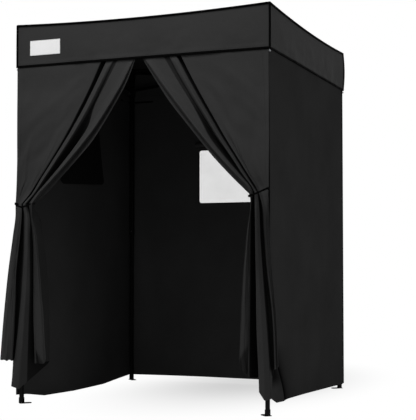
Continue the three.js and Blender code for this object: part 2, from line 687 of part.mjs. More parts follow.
const VALANCE_LINE = CANOPY_HALF - FABRIC / 2;
const SIDE_VALANCE_HALF = CANOPY_HALF - FABRIC - RUN_GAP;
add('valance_front', valance(CANOPY_HALF), finishes.canopy).position.y = -VALANCE_LINE;
add('valance_back', valance(CANOPY_HALF), finishes.canopy).position.y = VALANCE_LINE;
for (const [name, way] of [['valance_left', -1], ['valance_right', 1]]) {
  const mesh = add(name, valance(SIDE_VALANCE_HALF), finishes.canopy);
  mesh.position.x = way * VALANCE_LINE;
  mesh.rotation.z = Math.PI / 2;
}

const WALL_LINE = WALL_FACE - FABRIC / 2;
const SIDE_WALL_HALF = WALL_FACE - FABRIC - SEAM_GAP;

/** Puts a piece that was drawn along X, with its inner side towards +Y, on one side of the room. */
function onSide(mesh, side) {
  const places = { left: [-WALL_LINE, 0, -90], right: [WALL_LINE, 0, 90], back: [0, WALL_LINE, 180] };
  const [x, y, degrees] = places[side];
  mesh.position.set(x, y, 0);
  mesh.rotation.z = THREE.MathUtils.degToRad(degrees);
}

onSide(add('wall_left', wall(SIDE_WALL_HALF, LEFT_WINDOW_MID), finishes.wall), 'left');
onSide(add('wall_right', wall(SIDE_WALL_HALF), finishes.wall), 'right');
onSide(add('wall_back', wall(WALL_FACE, BACK_WINDOW_MID, rolledCover()), finishes.wall), 'back');
onSide(add('window_pane_left', windowPane(LEFT_WINDOW_MID), finishes.pane), 'left');
onSide(add('window_pane_back', windowPane(BACK_WINDOW_MID), finishes.pane), 'back');

const flap = new THREE.Group();
flap.position.x = FABRIC / 2 + RUN_GAP;
built.add(flap);
onSide(add('window_flap_left', windowFlap(), finishes.wall, flap), 'left');

add('curtain_left', curtain(-1, leftHem), finishes.curtain);
add('curtain_right', curtain(1, rightHem), finishes.curtain);
add('tieback_left', tieback(-1), finishes.curtain);
add('tieback_right', tieback(1), finishes.curtain);

export default object;
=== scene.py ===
"""Portable fitting room: fabric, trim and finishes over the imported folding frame.

The canopy hangs on a folding steel frame with four telescoping legs. Everything soft is made here as
real cloth sheets: roof halves, valances, walls, window covers and panes, and the two tied curtains.
All lengths are in metres, in the frame's own axes: +Z up, the open front towards -Y.
"""

from __future__ import annotations

import json
import logging
import math
from dataclasses import dataclass, field
from enum import Enum
from typing import Optional, Sequence

import bpy
import numpy as np
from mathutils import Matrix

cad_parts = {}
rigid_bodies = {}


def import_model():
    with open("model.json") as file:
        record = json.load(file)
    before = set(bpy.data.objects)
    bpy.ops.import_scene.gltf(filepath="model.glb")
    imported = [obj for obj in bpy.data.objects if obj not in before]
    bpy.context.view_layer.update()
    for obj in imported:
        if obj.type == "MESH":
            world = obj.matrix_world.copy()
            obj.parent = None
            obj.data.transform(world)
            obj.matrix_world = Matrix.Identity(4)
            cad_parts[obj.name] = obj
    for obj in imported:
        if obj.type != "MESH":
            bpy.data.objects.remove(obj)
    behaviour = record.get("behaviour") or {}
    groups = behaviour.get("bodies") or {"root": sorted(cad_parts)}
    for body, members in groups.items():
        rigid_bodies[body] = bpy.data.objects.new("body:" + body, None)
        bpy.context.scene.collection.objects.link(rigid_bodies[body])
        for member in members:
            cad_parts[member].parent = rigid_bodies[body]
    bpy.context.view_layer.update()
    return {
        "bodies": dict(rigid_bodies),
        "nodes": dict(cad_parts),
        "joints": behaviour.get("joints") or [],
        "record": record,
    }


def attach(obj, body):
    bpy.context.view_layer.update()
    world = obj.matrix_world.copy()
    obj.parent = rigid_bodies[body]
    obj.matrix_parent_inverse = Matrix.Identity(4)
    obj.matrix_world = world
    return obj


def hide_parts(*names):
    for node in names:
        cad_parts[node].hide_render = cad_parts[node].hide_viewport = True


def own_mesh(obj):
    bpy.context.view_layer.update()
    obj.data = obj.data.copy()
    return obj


LOG = logging.getLogger("fitting_room")

Array = np.ndarray
Line = tuple[Array, Array]
Node = bpy.types.Node
Object = bpy.types.Object
Point = tuple[float, float, float]
Socket = bpy.types.NodeSocket
Tree = bpy.types.NodeTree

# The canopy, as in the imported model
HALF = 0.76
CENTRE_Y = 0.04715
CANOPY_TOP = 2.16
CANOPY_SAG = 0.018
VALANCE_BOTTOM = 1.917
WALL_TOP = 1.96
WALL_LINE = 0.758
CLOTH = 0.001
SEAM_GAP = 0.0014

# The folded legs stand this share of the open distance apart
LEG_AT = 0.735

WINDOW_WIDTH = 0.48
WINDOW_HEIGHT = 0.36
WINDOW_CORNER = 0.014
BACK_WINDOW_MID = 1.388
LEFT_WINDOW_MID = 1.51


class Side(Enum):
    """The four sides of the room, each with its direction along the side and its outward direction."""

    FRONT = ("front", (1, 0, 0), (0, -1, 0))
    BACK = ("back", (-1, 0, 0), (0, 1, 0))
    LEFT = ("left", (0, -1, 0), (-1, 0, 0))
    RIGHT = ("right", (0, 1, 0), (1, 0, 0))

    @property
    def label(self) -> str:
        """The side's name in piece names."""
        return self.value[0]

    @property
    def outward(self) -> Array:
        """The direction that faces out of the room."""
        return np.array(self.value[2], float)

    def place(self, along: Array, out: Array, height: Array) -> Array:
        """Points of this side in the room's axes.

        Args:
            along: Distance from the middle of the side, positive to the right as seen from outside.
            out: Distance from the canopy's centre, outwards.
            height: Height above the floor.

        Returns:
            An array of points with one more axis than the inputs.
        """
        along, out, height = np.broadcast_arrays(along, out, height)
        direction = np.array(self.value[1], float)
        points = along[..., None] * direction + out[..., None] * self.outward
        points[..., 1] += CENTRE_Y
        points[..., 2] = height
        return points


class Body(Enum):
    """The bodies of the frame that carry fabric."""

    FRONT_LEFT = "leg_front_left"
    FRONT_RIGHT = "leg_front_right"
    BACK_LEFT = "leg_back_left"
    BACK_RIGHT = "leg_back_right"
    ROOF_LEFT = "front_bar_left_high"
    ROOF_RIGHT = "front_bar_right_high"
    FLAP = "window_flap"


@dataclass(frozen=True)
class Gather:
    """The body that a piece of cloth rides on, with the axis and anchor of a bunching that nothing here
    applies.

    Attributes:
        body: The body that the piece rides on.
        axis: The direction in which it would bunch; not used.
        anchor: The place that would stay where it is; not used.
    """

    body: Body
    axis: Point
    anchor: Point

    def dress(self, piece: Object) -> None:
        """Makes the piece ride on its body, with a mesh of its own."""
        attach(piece, self.body.value)
        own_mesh(piece)


ALONG_X, ALONG_Y = (1.0, 0.0, 0.0), (0.0, 1.0, 0.0)
AT_LEFT_LEG, AT_RIGHT_LEG = (-LEG_AT, 0.0, 0.0), (LEG_AT, 0.0, 0.0)
AT_FRONT_LEGS = (0.0, CENTRE_Y - LEG_AT, 0.0)
GATHERS = {
    "front": Gather(Body.FRONT_LEFT, ALONG_X, AT_LEFT_LEG),
    "left": Gather(Body.FRONT_LEFT, ALONG_Y, AT_FRONT_LEGS),
    "right": Gather(Body.FRONT_RIGHT, ALONG_Y, AT_FRONT_LEGS),
    "back": Gather(Body.BACK_LEFT, ALONG_X, AT_LEFT_LEG),
    "roof_left": Gather(Body.ROOF_LEFT, ALONG_Y, AT_FRONT_LEGS),
    "roof_right": Gather(Body.ROOF_RIGHT, ALONG_Y, AT_FRONT_LEGS),
    "curtain_left": Gather(Body.FRONT_LEFT, ALONG_X, AT_LEFT_LEG),
    "curtain_right": Gather(Body.FRONT_RIGHT, ALONG_X, AT_RIGHT_LEG),
    "flap": Gather(Body.FLAP, ALONG_Y, AT_FRONT_LEGS),
}


def smooth(low: float, high: float, value: Array) -> Array:
    """A smooth step from 0 at low to 1 at high."""
    share = np.clip((np.asarray(value, float) - low) / (high - low), 0.0, 1.0)
    return share * share * (3.0 - 2.0 * share)


def bump(centre: float, width: float, value: Array) -> Array:
    """A smooth hump of height 1 about a centre."""
    return np.exp(-(((np.asarray(value, float) - centre) / width) ** 2))


def steps(stops: Sequence[float], step: float) -> Array:
    """Values that pass through every stop and lie no further than a step apart."""
    parts = [np.linspace(a, b, max(2, math.ceil(abs(b - a) / step) + 1))[:-1] for a, b in zip(stops, stops[1:])]
    return np.append(np.concatenate(parts), stops[-1])


class Wrinkles:
    """Smooth unevenness of a cloth, drawn from a fixed lattice of random values."""

    SIZE = 64

    def __init__(self, seed: int) -> None:
        """Draws the lattice from a fixed seed."""
        self.lattice = np.random.RandomState(seed).uniform(-1.0, 1.0, (self.SIZE, self.SIZE))

    def _corner(self, row: Array, column: Array) -> Array:
        """The lattice's values, which repeat past its edges."""
        return self.lattice[row % self.SIZE, column % self.SIZE]

    def at(self, x: Array, y: Array) -> Array:
        """Values from -1 to 1 that change smoothly over a distance of 1.

        Args:
            x: Places along the lattice's columns.
            y: Places along its rows.

        Returns:
            One value for each place.
        """
        x, y = np.broadcast_arrays(np.asarray(x, float), np.asarray(y, float))
        column, row = np.floor(x).astype(int), np.floor(y).astype(int)
        a, b = x - column, y - row
        a, b = a * a * (3 - 2 * a), b * b * (3 - 2 * b)
        low = self._corner(row, column) * (1 - a) + self._corner(row, column + 1) * a
        high = self._corner(row + 1, column) * (1 - a) + self._corner(row + 1, column + 1) * a
        return low * (1 - b) + high * b

    def layered(self, x: Array, y: Array, layers: int = 3) -> Array:
        """Several sizes of unevenness, each half as large and half as strong as the last."""
        return sum(self.at(x * 2**k + 7.3 * k, y * 2**k + 3.1 * k) / 2**k for k in range(layers))


class Finish(Enum):
    """The names of the finishes, as they are called in the materials."""

    CANOPY = "canopy_cloth"
    WALL = "wall_cloth"
    LINING = "wall_lining"
    COVER = "cover_lining"
    CURTAIN = "curtain_cloth"
    PIPING = "piping_cord"
    WEBBING = "black_webbing"
    THREAD = "black_thread"
    PATCH = "white_patch"
    VINYL = "window_vinyl"
    STEEL = "black_powder_coat"
    NYLON = "black_moulded_nylon"
    ZINC = "bright_zinc"
    FLOOR = "studio_floor"


class NodeDesk:
    """Adds nodes to one tree and joins them."""

    def __init__(self, tree: Tree) -> None:
        """Keeps the tree."""
        self.tree = tree

    def wire(self, node: Node, inputs: dict) -> None:
        """Feeds a node's inputs.

        Args:
            node: The node.
            inputs: For each input, by name or number, a socket that is joined to it or a plain value.
        """
        for label, value in inputs.items():
            if isinstance(value, bpy.types.NodeSocket):
                self.tree.links.new(value, node.inputs[label])
            else:
                node.inputs[label].default_value = value

    def add(self, kind: str, inputs: Optional[dict] = None, **settings: object) -> Node:
        """Adds a node.

        Args:
            kind: The node's type.
            inputs: What feeds its inputs, as for wire.
            settings: The node's own settings, set before its inputs are fed.

        Returns:
            The new node.
        """
        node = self.tree.nodes.new(kind)
        for label, value in settings.items():
            setattr(node, label, value)
        self.wire(node, inputs or {})
        return node

    def math(self, operation: str, *values: object) -> Socket:
        """The result of a Math node."""
        return self.add("ShaderNodeMath", dict(enumerate(values)), operation=operation).outputs[0]

    def vector(self, operation: str, inputs: dict, result: int | str = 0) -> Socket:
        """A result of a Vector Math node."""
        return self.add("ShaderNodeVectorMath", inputs, operation=operation).outputs[result]

    def spread(self, mask: Socket, low: float, high: float) -> Socket:
        """A value that goes from low to high as the mask goes from 0 to 1."""
        return self.add("ShaderNodeMapRange", {"Value": mask, "To Min": low, "To Max": high}).outputs["Result"]

    def shades(self, mask: Socket, low: Sequence[float], high: Sequence[float]) -> Socket:
        """A colour that goes from low to high as the mask goes from 0.3 to 0.7.

        Args:
            mask: The mask.
            low: The colour at 0.3.
            high: The colour at 0.7.

        Returns:
            The colour.
        """
        ramp = self.add("ShaderNodeValToRGB", {"Fac": mask})
        for place, position, colour in ((0, 0.3, low), (1, 0.7, high)):
            ramp.color_ramp.elements[place].position = position
            ramp.color_ramp.elements[place].color = (*colour, 1.0)
        return ramp.outputs["Color"]

    def mix(self, factor: object, first: object, second: object, way: str = "MIX") -> Socket:
        """Two colours mixed by a factor."""
        inputs = {"Factor": factor, 6: first, 7: second}
        return self.add("ShaderNodeMix", inputs, data_type="RGBA", blend_type=way).outputs[2]

    def bumps(self, shader: Node, layers: Sequence[tuple]) -> None:
        """Chains bump layers into the shader's normal.

        Args:
            shader: The Principled shader.
            layers: For each layer its height socket, its strength and its distance.
        """
        last = None
        for height, strength, distance in layers:
            node = self.add("ShaderNodeBump", {"Height": height, "Strength": strength, "Distance": distance})
            if last is not None:
                self.wire(node, {"Normal": last})
            last = node.outputs["Normal"]
        self.wire(shader, {"Normal": last})


def new_material(name: str) -> tuple[bpy.types.Material, NodeDesk, Node]:
    """Starts a material.

    Args:
        name: The material's name.

    Returns:
        The material, its desk and its Principled shader.
    """
    material = bpy.data.materials.new(name)
    material.use_nodes = True
    return material, NodeDesk(material.node_tree), material.node_tree.nodes["Principled BSDF"]


class ShaderParts:
    """Node groups that several finishes share."""

    def __init__(self) -> None:
        """Builds each group once."""
        self.weave = self._weave()
        self.mottle = self._mottle()
        self.scuffs = self._scuffs()

    @staticmethod
    def _start(name: str, inputs: dict, outputs: Sequence[str]) -> tuple[NodeDesk, Node, Node]:
        """Starts a shader group.

        Args:
            name: The group's name.
            inputs: For each named input its number, or None for a vector.
            outputs: Names of its outputs, which are numbers.

        Returns:
            The group's desk, its input node and its output node.
        """
        tree = bpy.data.node_groups.new(name, "ShaderNodeTree")
        for label, value in inputs.items():
            kind = "NodeSocketVector" if value is None else "NodeSocketFloat"
            socket = tree.interface.new_socket(label, in_out="INPUT", socket_type=kind)
            if value is not None:
                socket.default_value = value
        for label in outputs:
            tree.interface.new_socket(label, in_out="OUTPUT", socket_type="NodeSocketFloat")
        desk = NodeDesk(tree)
        return desk, desk.add("NodeGroupInput"), desk.add("NodeGroupOutput")

    def _weave(self) -> Tree:
        """Over-and-under threads on the cloth's own UV map, which is in metres.

        Returns:
            The group.
        """
        desk, inlet, outlet = self._start("woven_threads", {"UV": None, "Thread": 0.001}, ("Height", "Shade"))
        split = desk.add("ShaderNodeSeparateXYZ", {0: inlet.outputs["UV"]})
        turn = desk.math("DIVIDE", math.pi, inlet.outputs["Thread"])
        warp, weft = (desk.math("SINE", desk.math("MULTIPLY", split.outputs[k], turn)) for k in (0, 1))
        over = desk.math("MULTIPLY", warp, weft)
        height = desk.math("MULTIPLY_ADD", over, 0.5, 0.5)
        desk.wire(outlet, {"Height": height, "Shade": desk.math("ABSOLUTE", over)})
        return desk.tree

    def _mottle(self) -> Tree:
        """Cloudy unevenness of a dyed or coated surface, and its fine crumple.

        Returns:
            The group.
        """
        inputs = {"Vector": None, "Scale": 4.0, "Crumple": 30.0}
        desk, inlet, outlet = self._start("cloudy_surface", inputs, ("Mask", "Height"))
        for scale, detail, target in (("Scale", 4.0, "Mask"), ("Crumple", 3.0, "Height")):
            given = {"Vector": inlet.outputs["Vector"], "Scale": inlet.outputs[scale]}
            noise = desk.add("ShaderNodeTexNoise", {**given, "Detail": detail, "Roughness": 0.55})
            desk.wire(outlet, {target: noise.outputs["Fac"]})
        return desk.tree

    def _scuffs(self) -> Tree:
        """Scattered small marks of wear on a hard part.

        Returns:
            The group.
        """
        inputs = {"Vector": None, "Scale": 60.0, "Level": 0.66}
        desk, inlet, outlet = self._start("scuff_marks", inputs, ("Mask", "Height"))
        given = {"Vector": inlet.outputs["Vector"], "Scale": inlet.outputs["Scale"], "Detail": 6.0}
        noise = desk.add("ShaderNodeTexNoise", given)
        above = desk.math("SUBTRACT", noise.outputs["Fac"], inlet.outputs["Level"])
        clamp = desk.add("ShaderNodeClamp", {"Value": desk.math("MULTIPLY", above, 12.0)})
        desk.wire(outlet, {"Mask": clamp.outputs[0], "Height": noise.outputs["Fac"]})
        return desk.tree

    def clouds(self, desk: NodeDesk, place: Node, scale: float, crumple: float) -> Node:
        """Places the cloudy unevenness in a material.

        Args:
            desk: The material's desk.
            place: Its Texture Coordinate node.
            scale: How close together the clouds are.
            crumple: How close together the fine crumples are.

        Returns:
            The group's node.
        """
        inputs = {"Vector": place.outputs["Object"], "Scale": scale, "Crumple": crumple}
        return desk.add("ShaderNodeGroup", inputs, node_tree=self.mottle)


@dataclass(frozen=True)
class Cloth:
    """A woven, dyed finish.

    Attributes:
        dark: The dye's darker shade, linear.
        light: The dye's lighter shade, linear.
        thread: Width of one thread.
        roughness: Roughness of the surface.
        specular: How strongly it reflects.
        crumple: Strength of the fine crumple.
    """

    dark: float
    light: float
    thread: float = 0.0009
    roughness: float = 0.82
    specular: float = 0.16
    crumple: float = 0.25

    def build(self, name: str, parts: ShaderParts) -> bpy.types.Material:
        """Makes the material.

        Args:
            name: The material's name.
            parts: The shared node groups.

        Returns:
            The material.
        """
        material, desk, shader = new_material(name)
        place = desk.add("ShaderNodeTexCoord")
        inputs = {"UV": place.outputs["UV"], "Thread": self.thread}
        weave = desk.add("ShaderNodeGroup", inputs, node_tree=parts.weave)
        mottle = parts.clouds(desk, place, 3.0, 28.0)
        dye = desk.shades(mottle.outputs["Mask"], (self.dark,) * 3, (self.light,) * 3)
        threads = desk.mix(0.18, dye, weave.outputs["Shade"], "MULTIPLY")
        desk.wire(shader, {
            "Base Color": self._paint_fold_shade(desk, threads),
            "Roughness": desk.spread(mottle.outputs["Mask"], self.roughness - 0.06, self.roughness + 0.06),
            "Specular IOR Level": self.specular,
        })
        layers = ((mottle.outputs["Height"], self.crumple, 0.004), (weave.outputs["Height"], 0.35, 0.0003))
        desk.bumps(shader, layers)
        return material

    @staticmethod
    def _paint_fold_shade(desk: NodeDesk, colour: Socket) -> Socket:
        """The colour with painted shade: darker where the cloth's own second UV map, depth, marks shade in its
        folds, creases and hollows.

        Args:
            desk: The material's desk.
            colour: The colour of cloth that lies open.

        Returns:
            The colour with its painted shade, a tenth of the given one where that shade is full.
        """
        # Painted shade: the depth map darkens the cloth's colour where shade falls
        depth = desk.add("ShaderNodeUVMap", uv_map="depth")
        split = desk.add("ShaderNodeSeparateXYZ", {0: depth.outputs["UV"]})
        return desk.vector("SCALE", {0: colour, "Scale": desk.spread(split.outputs[0], 1.0, 0.1)})


@dataclass(frozen=True)
class HardFinish:
    """A painted, plated or moulded finish with small marks of wear.

    Attributes:
        colour: Its colour, linear.
        worn: The colour under the marks.
        roughness: Roughness of the clean surface.
        metallic: 1 for bare metal, else 0.
        scale: How close together the marks are.
        level: How rare the marks are, from 0.5 to 0.8.
        grain: Strength of the surface's grain.
        specular: How strongly it reflects, where it isn't metal.
    """

    colour: Point
    worn: Point
    roughness: float
    metallic: float = 0.0
    scale: float = 60.0
    level: float = 0.66
    grain: float = 0.08
    specular: float = 0.3

    def build(self, name: str, parts: ShaderParts) -> bpy.types.Material:
        """Makes the material.

        Args:
            name: The material's name.
            parts: The shared node groups.

        Returns:
            The material.
        """
        material, desk, shader = new_material(name)
        place = desk.add("ShaderNodeTexCoord")
        inputs = {"Vector": place.outputs["Object"], "Scale": self.scale, "Level": self.level}
        scuffs = desk.add("ShaderNodeGroup", inputs, node_tree=parts.scuffs)
        mottle = parts.clouds(desk, place, 14.0, 900.0)
        low, high = (tuple(share * c for c in self.colour) for share in (0.8, 1.2))
        paint = desk.shades(mottle.outputs["Mask"], low, high)
        marks = scuffs.outputs["Mask"]
        desk.wire(shader, {
            "Base Color": desk.mix(marks, paint, (*self.worn, 1.0)),
            "Roughness": desk.spread(marks, self.roughness, min(1.0, self.roughness + 0.25)),
            "Metallic": self.metallic,
            "Specular IOR Level": self.specular,
        })
        desk.bumps(shader, ((mottle.outputs["Height"], self.grain, 0.0004),))
        return material


@dataclass(frozen=True)
class Vinyl:
    """Clear flexible window vinyl.

    Attributes:
        tint: Its colour, linear.
        alpha: How much of the light it stops.
        roughness: Roughness of its face.
    """

    tint: float = 0.8
    alpha: float = 0.17
    roughness: float = 0.12

    def build(self, name: str, parts: ShaderParts) -> bpy.types.Material:
        """Makes the material.

        Args:
            name: The material's name.
            parts: The shared node groups.

        Returns:
            The material.
        """
        material, desk, shader = new_material(name)
        mottle = parts.clouds(desk, desk.add("ShaderNodeTexCoord"), 6.0, 9.0)
        mask = mottle.outputs["Mask"]
        desk.wire(shader, {
            "Base Color": desk.shades(mask, (self.tint * 0.92,) * 3, (self.tint,) * 3),
            "Alpha": desk.spread(mask, self.alpha - 0.05, self.alpha + 0.05),
            "Roughness": self.roughness,
        })
        desk.bumps(shader, ((mottle.outputs["Height"], 0.3, 0.01),))
        return material


FINISHES: dict[Finish, Cloth | HardFinish | Vinyl] = {
    Finish.CANOPY: Cloth(dark=0.023, light=0.029),
    Finish.WALL: Cloth(dark=0.039, light=0.048, specular=0.0),
    Finish.LINING: Cloth(dark=0.054, light=0.066, specular=0.04),
    Finish.COVER: Cloth(dark=0.009, light=0.012, specular=0.06),
    Finish.CURTAIN: Cloth(dark=0.0235, light=0.029, crumple=0.3),
    Finish.PIPING: Cloth(dark=0.0012, light=0.002, thread=0.0006, roughness=0.8, specular=0.02),
    Finish.WEBBING: Cloth(dark=0.0012, light=0.002, thread=0.0012, roughness=0.85, specular=0.02),
    Finish.THREAD: Cloth(dark=0.012, light=0.018, thread=0.0003, roughness=0.7, specular=0.05),
    Finish.PATCH: Cloth(dark=0.86, light=0.93, thread=0.0005, roughness=0.55, specular=0.3, crumple=0.08),
    Finish.VINYL: Vinyl(),
    Finish.STEEL: HardFinish((0.004, 0.004, 0.004), (0.02, 0.02, 0.02), 0.6, level=0.72, specular=0.1),
    Finish.NYLON: HardFinish(
        (0.005, 0.005, 0.0055), (0.012, 0.012, 0.012), 0.6, scale=90.0, grain=0.25, specular=0.12
    ),
    Finish.ZINC: HardFinish((0.3, 0.305, 0.32), (0.2, 0.2, 0.2), 0.42, metallic=1.0, scale=120.0, level=0.62),
}


class Workshop:
    """Makes meshes and holds the materials and the node trees for what repeats."""

    # The most that two faces turn before their shared edge shows as a sharp one
    SHEET_ANGLE = 50.0
    TRIM_ANGLE = 40.0

    def __init__(self) -> None:
        """Builds the shared materials and trees."""
        parts = ShaderParts()
        self.materials = {key: finish.build(key.value, parts) for key, finish in FINISHES.items()}
        self.stitch_tree = self._stitch_tree()
        self.cord_tree = self._cord_tree()

    def sheet(
        self,
        name: str,
        middle: Array,
        finish: Finish,
        thickness: Array | float,
        flat: tuple[float, float],
        wrap: bool = False,
        keep: Optional[Array] = None,
        lining: Optional[tuple[Finish, Array]] = None,
        depth: Optional[tuple[Array, int]] = None,
    ) -> Object:
        """A closed sheet of cloth about its middle layer.

        Args:
            name: The piece's name.
            middle: Points of the middle layer, rows by columns by 3.
            finish: The finish of the cloth.
            thickness: The cloth's thickness, one number or rows by columns.
            flat: Declared width and length of the flat cloth, for the UV map.
            wrap: Whether the last column joins the first.
            keep: Which cells are there, or None for all.
            lining: A second finish, for the faces that look this way.
            depth: Painted shade at each point, from 0 to 1, on the first (0) or the second (1) face; kept in a
                UV map called depth that darkens the cloth's colour.

        Returns:
            The new object.
        """
        rows, columns = middle.shape[:2]
        across = np.roll(middle, -1, 1) - np.roll(middle, 1, 1) if wrap else np.gradient(middle, axis=1)
        normal = np.cross(across, np.gradient(middle, axis=0))
        normal /= np.maximum(np.linalg.norm(normal, axis=2, keepdims=True), 1e-12)
        half = np.broadcast_to(np.asarray(thickness, float) / 2, (rows, columns))[..., None]
        vertices = np.concatenate([(middle + way * normal * half).reshape(-1, 3) for way in (1, -1)])
        layer = rows * columns
        faces = np.array(self._closed_faces(rows, columns, wrap, keep))
        used = np.unique(faces)
        renumber = np.full(2 * layer, -1)
        renumber[used] = np.arange(len(used))
        mesh = bpy.data.meshes.new(name)
        mesh.from_pydata(vertices[used].tolist(), [], renumber[faces].tolist())
        u, v = np.meshgrid(np.linspace(0, flat[0], columns), np.linspace(0, flat[1], rows))
        cut = np.tile(np.stack([u.reshape(-1), v.reshape(-1)], 1), (2, 1))
        self._add_map(mesh, "cut", cut[used])
        mesh.materials.append(self.materials[finish])
        if lining is not None:
            mesh.materials.append(self.materials[lining[0]])
            normals = np.empty(len(mesh.polygons) * 3)
            mesh.polygons.foreach_get("normal", normals)
            inner = normals.reshape(-1, 3) @ np.asarray(lining[1], float) > 0.3
            mesh.polygons.foreach_set("material_index", inner.astype(np.int32))
        # The depth map carries painted shade, which the cloth's material multiplies into its colour
        if depth is not None:
            deep = np.zeros((2 * layer, 2))
            deep[depth[1] * layer : (depth[1] + 1) * layer, 0] = np.asarray(depth[0]).reshape(-1)
            self._add_map(mesh, "depth", deep[used])
        return self._finish_mesh(name, mesh, self.SHEET_ANGLE)

    @staticmethod
    def _closed_faces(rows: int, columns: int, wrap: bool, keep: Optional[Array]) -> list[tuple[int, ...]]:
        """Faces of two layers of a grid, joined along every free edge.

        Args:
            rows: The grid's rows of points.
            columns: Its columns of points.
            wrap: Whether the last column joins the first.
            keep: Which cells are there, or None for all.

        Returns:
            The corners of each face.
        """
        layer = rows * columns
        faces: list[tuple[int, ...]] = []
        rim: dict[tuple[int, int], bool] = {}
        for r in range(rows - 1):
            for c in range(columns if wrap else columns - 1):
                if keep is not None and not keep[r, c]:
                    continue
                d = (c + 1) % columns
                corners = (r * columns + c, r * columns + d, (r + 1) * columns + d, (r + 1) * columns + c)
                faces += [corners, tuple(layer + k for k in reversed(corners))]
                for a, b in zip(corners, corners[1:] + corners[:1]):
                    if rim.pop((b, a), None) is None:
                        rim[(a, b)] = True
        return faces + [(b, a, layer + a, layer + b) for a, b in rim]

    @staticmethod
    def _add_map(mesh: bpy.types.Mesh, name: str, places: Array) -> None:
        """Adds a UV map.

        Args:
            mesh: The mesh.
            name: The map's name.
            places: One place for each vertex.
        """
        loops = np.empty(len(mesh.loops), int)
        mesh.loops.foreach_get("vertex_index", loops)
        mesh.uv_layers.new(name=name).data.foreach_set("uv", places[loops].astype(np.float32).reshape(-1))

    @staticmethod
    def _finish_mesh(name: str, mesh: bpy.types.Mesh, angle: float) -> Object:
        """Shades a mesh smoothly, but for its sharp edges, and puts it in the scene.

        Args:
            name: The piece's name.
            mesh: Its mesh.
            angle: The angle from which an edge is sharp, in degrees.

        Returns:
            The new object.
        """
        mesh.validate()
        mesh.shade_smooth()
        mesh.set_sharp_from_angle(angle=math.radians(angle))
        piece = bpy.data.objects.new(name, mesh)
        bpy.context.scene.collection.objects.link(piece)
        return piece

    def _bake(self, name: str, lines: Sequence[Line], tree: Tree, values: dict) -> Object:
        """Runs a node tree over lines and keeps the result as a plain mesh.

        Args:
            name: The piece's name.
            lines: For each line its points and the outward direction at each.
            tree: The node tree.
            values: The tree's named inputs.

        Returns:
            The new object.
        """
        points, outward, edges = [], [], []
        for line, out in lines:
            start = len(points)
            points += list(map(tuple, line))
            outward += list(np.broadcast_to(out, line.shape).reshape(-1, 3))
            edges += [(start + k, start + k + 1) for k in range(len(line) - 1)]
        path = bpy.data.meshes.new(name + "_path")
        path.from_pydata(points, edges, [])
        directions = path.attributes.new("outward", "FLOAT_VECTOR", "POINT")
        directions.data.foreach_set("vector", np.array(outward, np.float32).reshape(-1))
        carrier = bpy.data.objects.new(name + "_path", path)
        modifier = carrier.modifiers.new("work", "NODES")
        modifier.node_group = tree
        sockets = {item.name: item.identifier for item in tree.interface.items_tree if item.in_out == "INPUT"}
        for label, value in values.items():
            modifier[sockets[label]] = value
        bpy.context.scene.collection.objects.link(carrier)
        bpy.context.view_layer.update()
        graph = bpy.context.evaluated_depsgraph_get()
        mesh = bpy.data.meshes.new_from_object(carrier.evaluated_get(graph))
        mesh.name = name
        bpy.data.objects.remove(carrier)
        return self._finish_mesh(name, mesh, self.TRIM_ANGLE)

    @staticmethod
    def _tree(name: str, inputs: dict[str, str]) -> tuple[NodeDesk, Node, Node]:
        """Starts a geometry tree with a path, more named inputs and a result.

        Args:
            name: The tree's name.
            inputs: For each further input the kind of its socket.

        Returns:
            The tree's desk, its input node and its output node.
        """
        tree = bpy.data.node_groups.new(name, "GeometryNodeTree")
        for label, kind in {"Path": "Geometry", **inputs}.items():
            tree.interface.new_socket(label, in_out="INPUT", socket_type=f"NodeSocket{kind}")
        tree.interface.new_socket("Result", in_out="OUTPUT", socket_type="NodeSocketGeometry")
        desk = NodeDesk(tree)
        return desk, desk.add("NodeGroupInput"), desk.add("NodeGroupOutput")

    @staticmethod
    def _end(desk: NodeDesk, shape: Socket, material: Socket, outlet: Node) -> Tree:
        """Ends a geometry tree: real geometry with its material.

        Args:
            desk: The tree's desk.
            shape: The shape so far.
            material: Its material.
            outlet: The tree's output node.

        Returns:
            The tree.
        """
        real = desk.add("GeometryNodeRealizeInstances", {0: shape})
        paint = desk.add("GeometryNodeSetMaterial", {"Geometry": real.outputs[0], "Material": material})
        desk.wire(outlet, {"Result": paint.outputs[0]})
        return desk.tree

    def _stitch_tree(self) -> Tree:
        """Stitches in rows along every line: small rounded threads, lengthwise to the line.

        Returns:
            The tree.
        """
        inputs = {"Pitch": "Float", "Size": "Vector", "Thread": "Material"}
        desk, inlet, outlet = self._tree("stitch_rows", inputs)
        given = inlet.outputs
        curve = desk.add("GeometryNodeMeshToCurve", {"Mesh": given["Path"]}).outputs["Curve"]
        spacing = {"Curve": curve, "Length": given["Pitch"]}
        spaced = desk.add("GeometryNodeResampleCurve", spacing, mode="LENGTH")
        ball = desk.add("GeometryNodeMeshUVSphere", {"Segments": 6, "Rings": 4, "Radius": 0.5})
        tangent = desk.add("GeometryNodeInputTangent")
        outward = desk.add("GeometryNodeInputNamedAttribute", {"Name": "outward"}, data_type="FLOAT_VECTOR")
        axes = {0: tangent.outputs[0], 1: outward.outputs[0]}
        turn = desk.add("FunctionNodeAxesToRotation", axes, primary_axis="X", secondary_axis="Z")
        uneven = desk.add("FunctionNodeRandomValue", {2: 0.88, 3: 1.12, "Seed": 11}, data_type="FLOAT")
        placed = desk.add("GeometryNodeInstanceOnPoints", {
            "Points": spaced.outputs["Curve"],
            "Instance": ball.outputs["Mesh"],
            "Rotation": turn.outputs[0],
            "Scale": desk.vector("SCALE", {0: given["Size"], "Scale": uneven.outputs[1]}),
        })
        return self._end(desk, placed.outputs[0], given["Thread"], outlet)

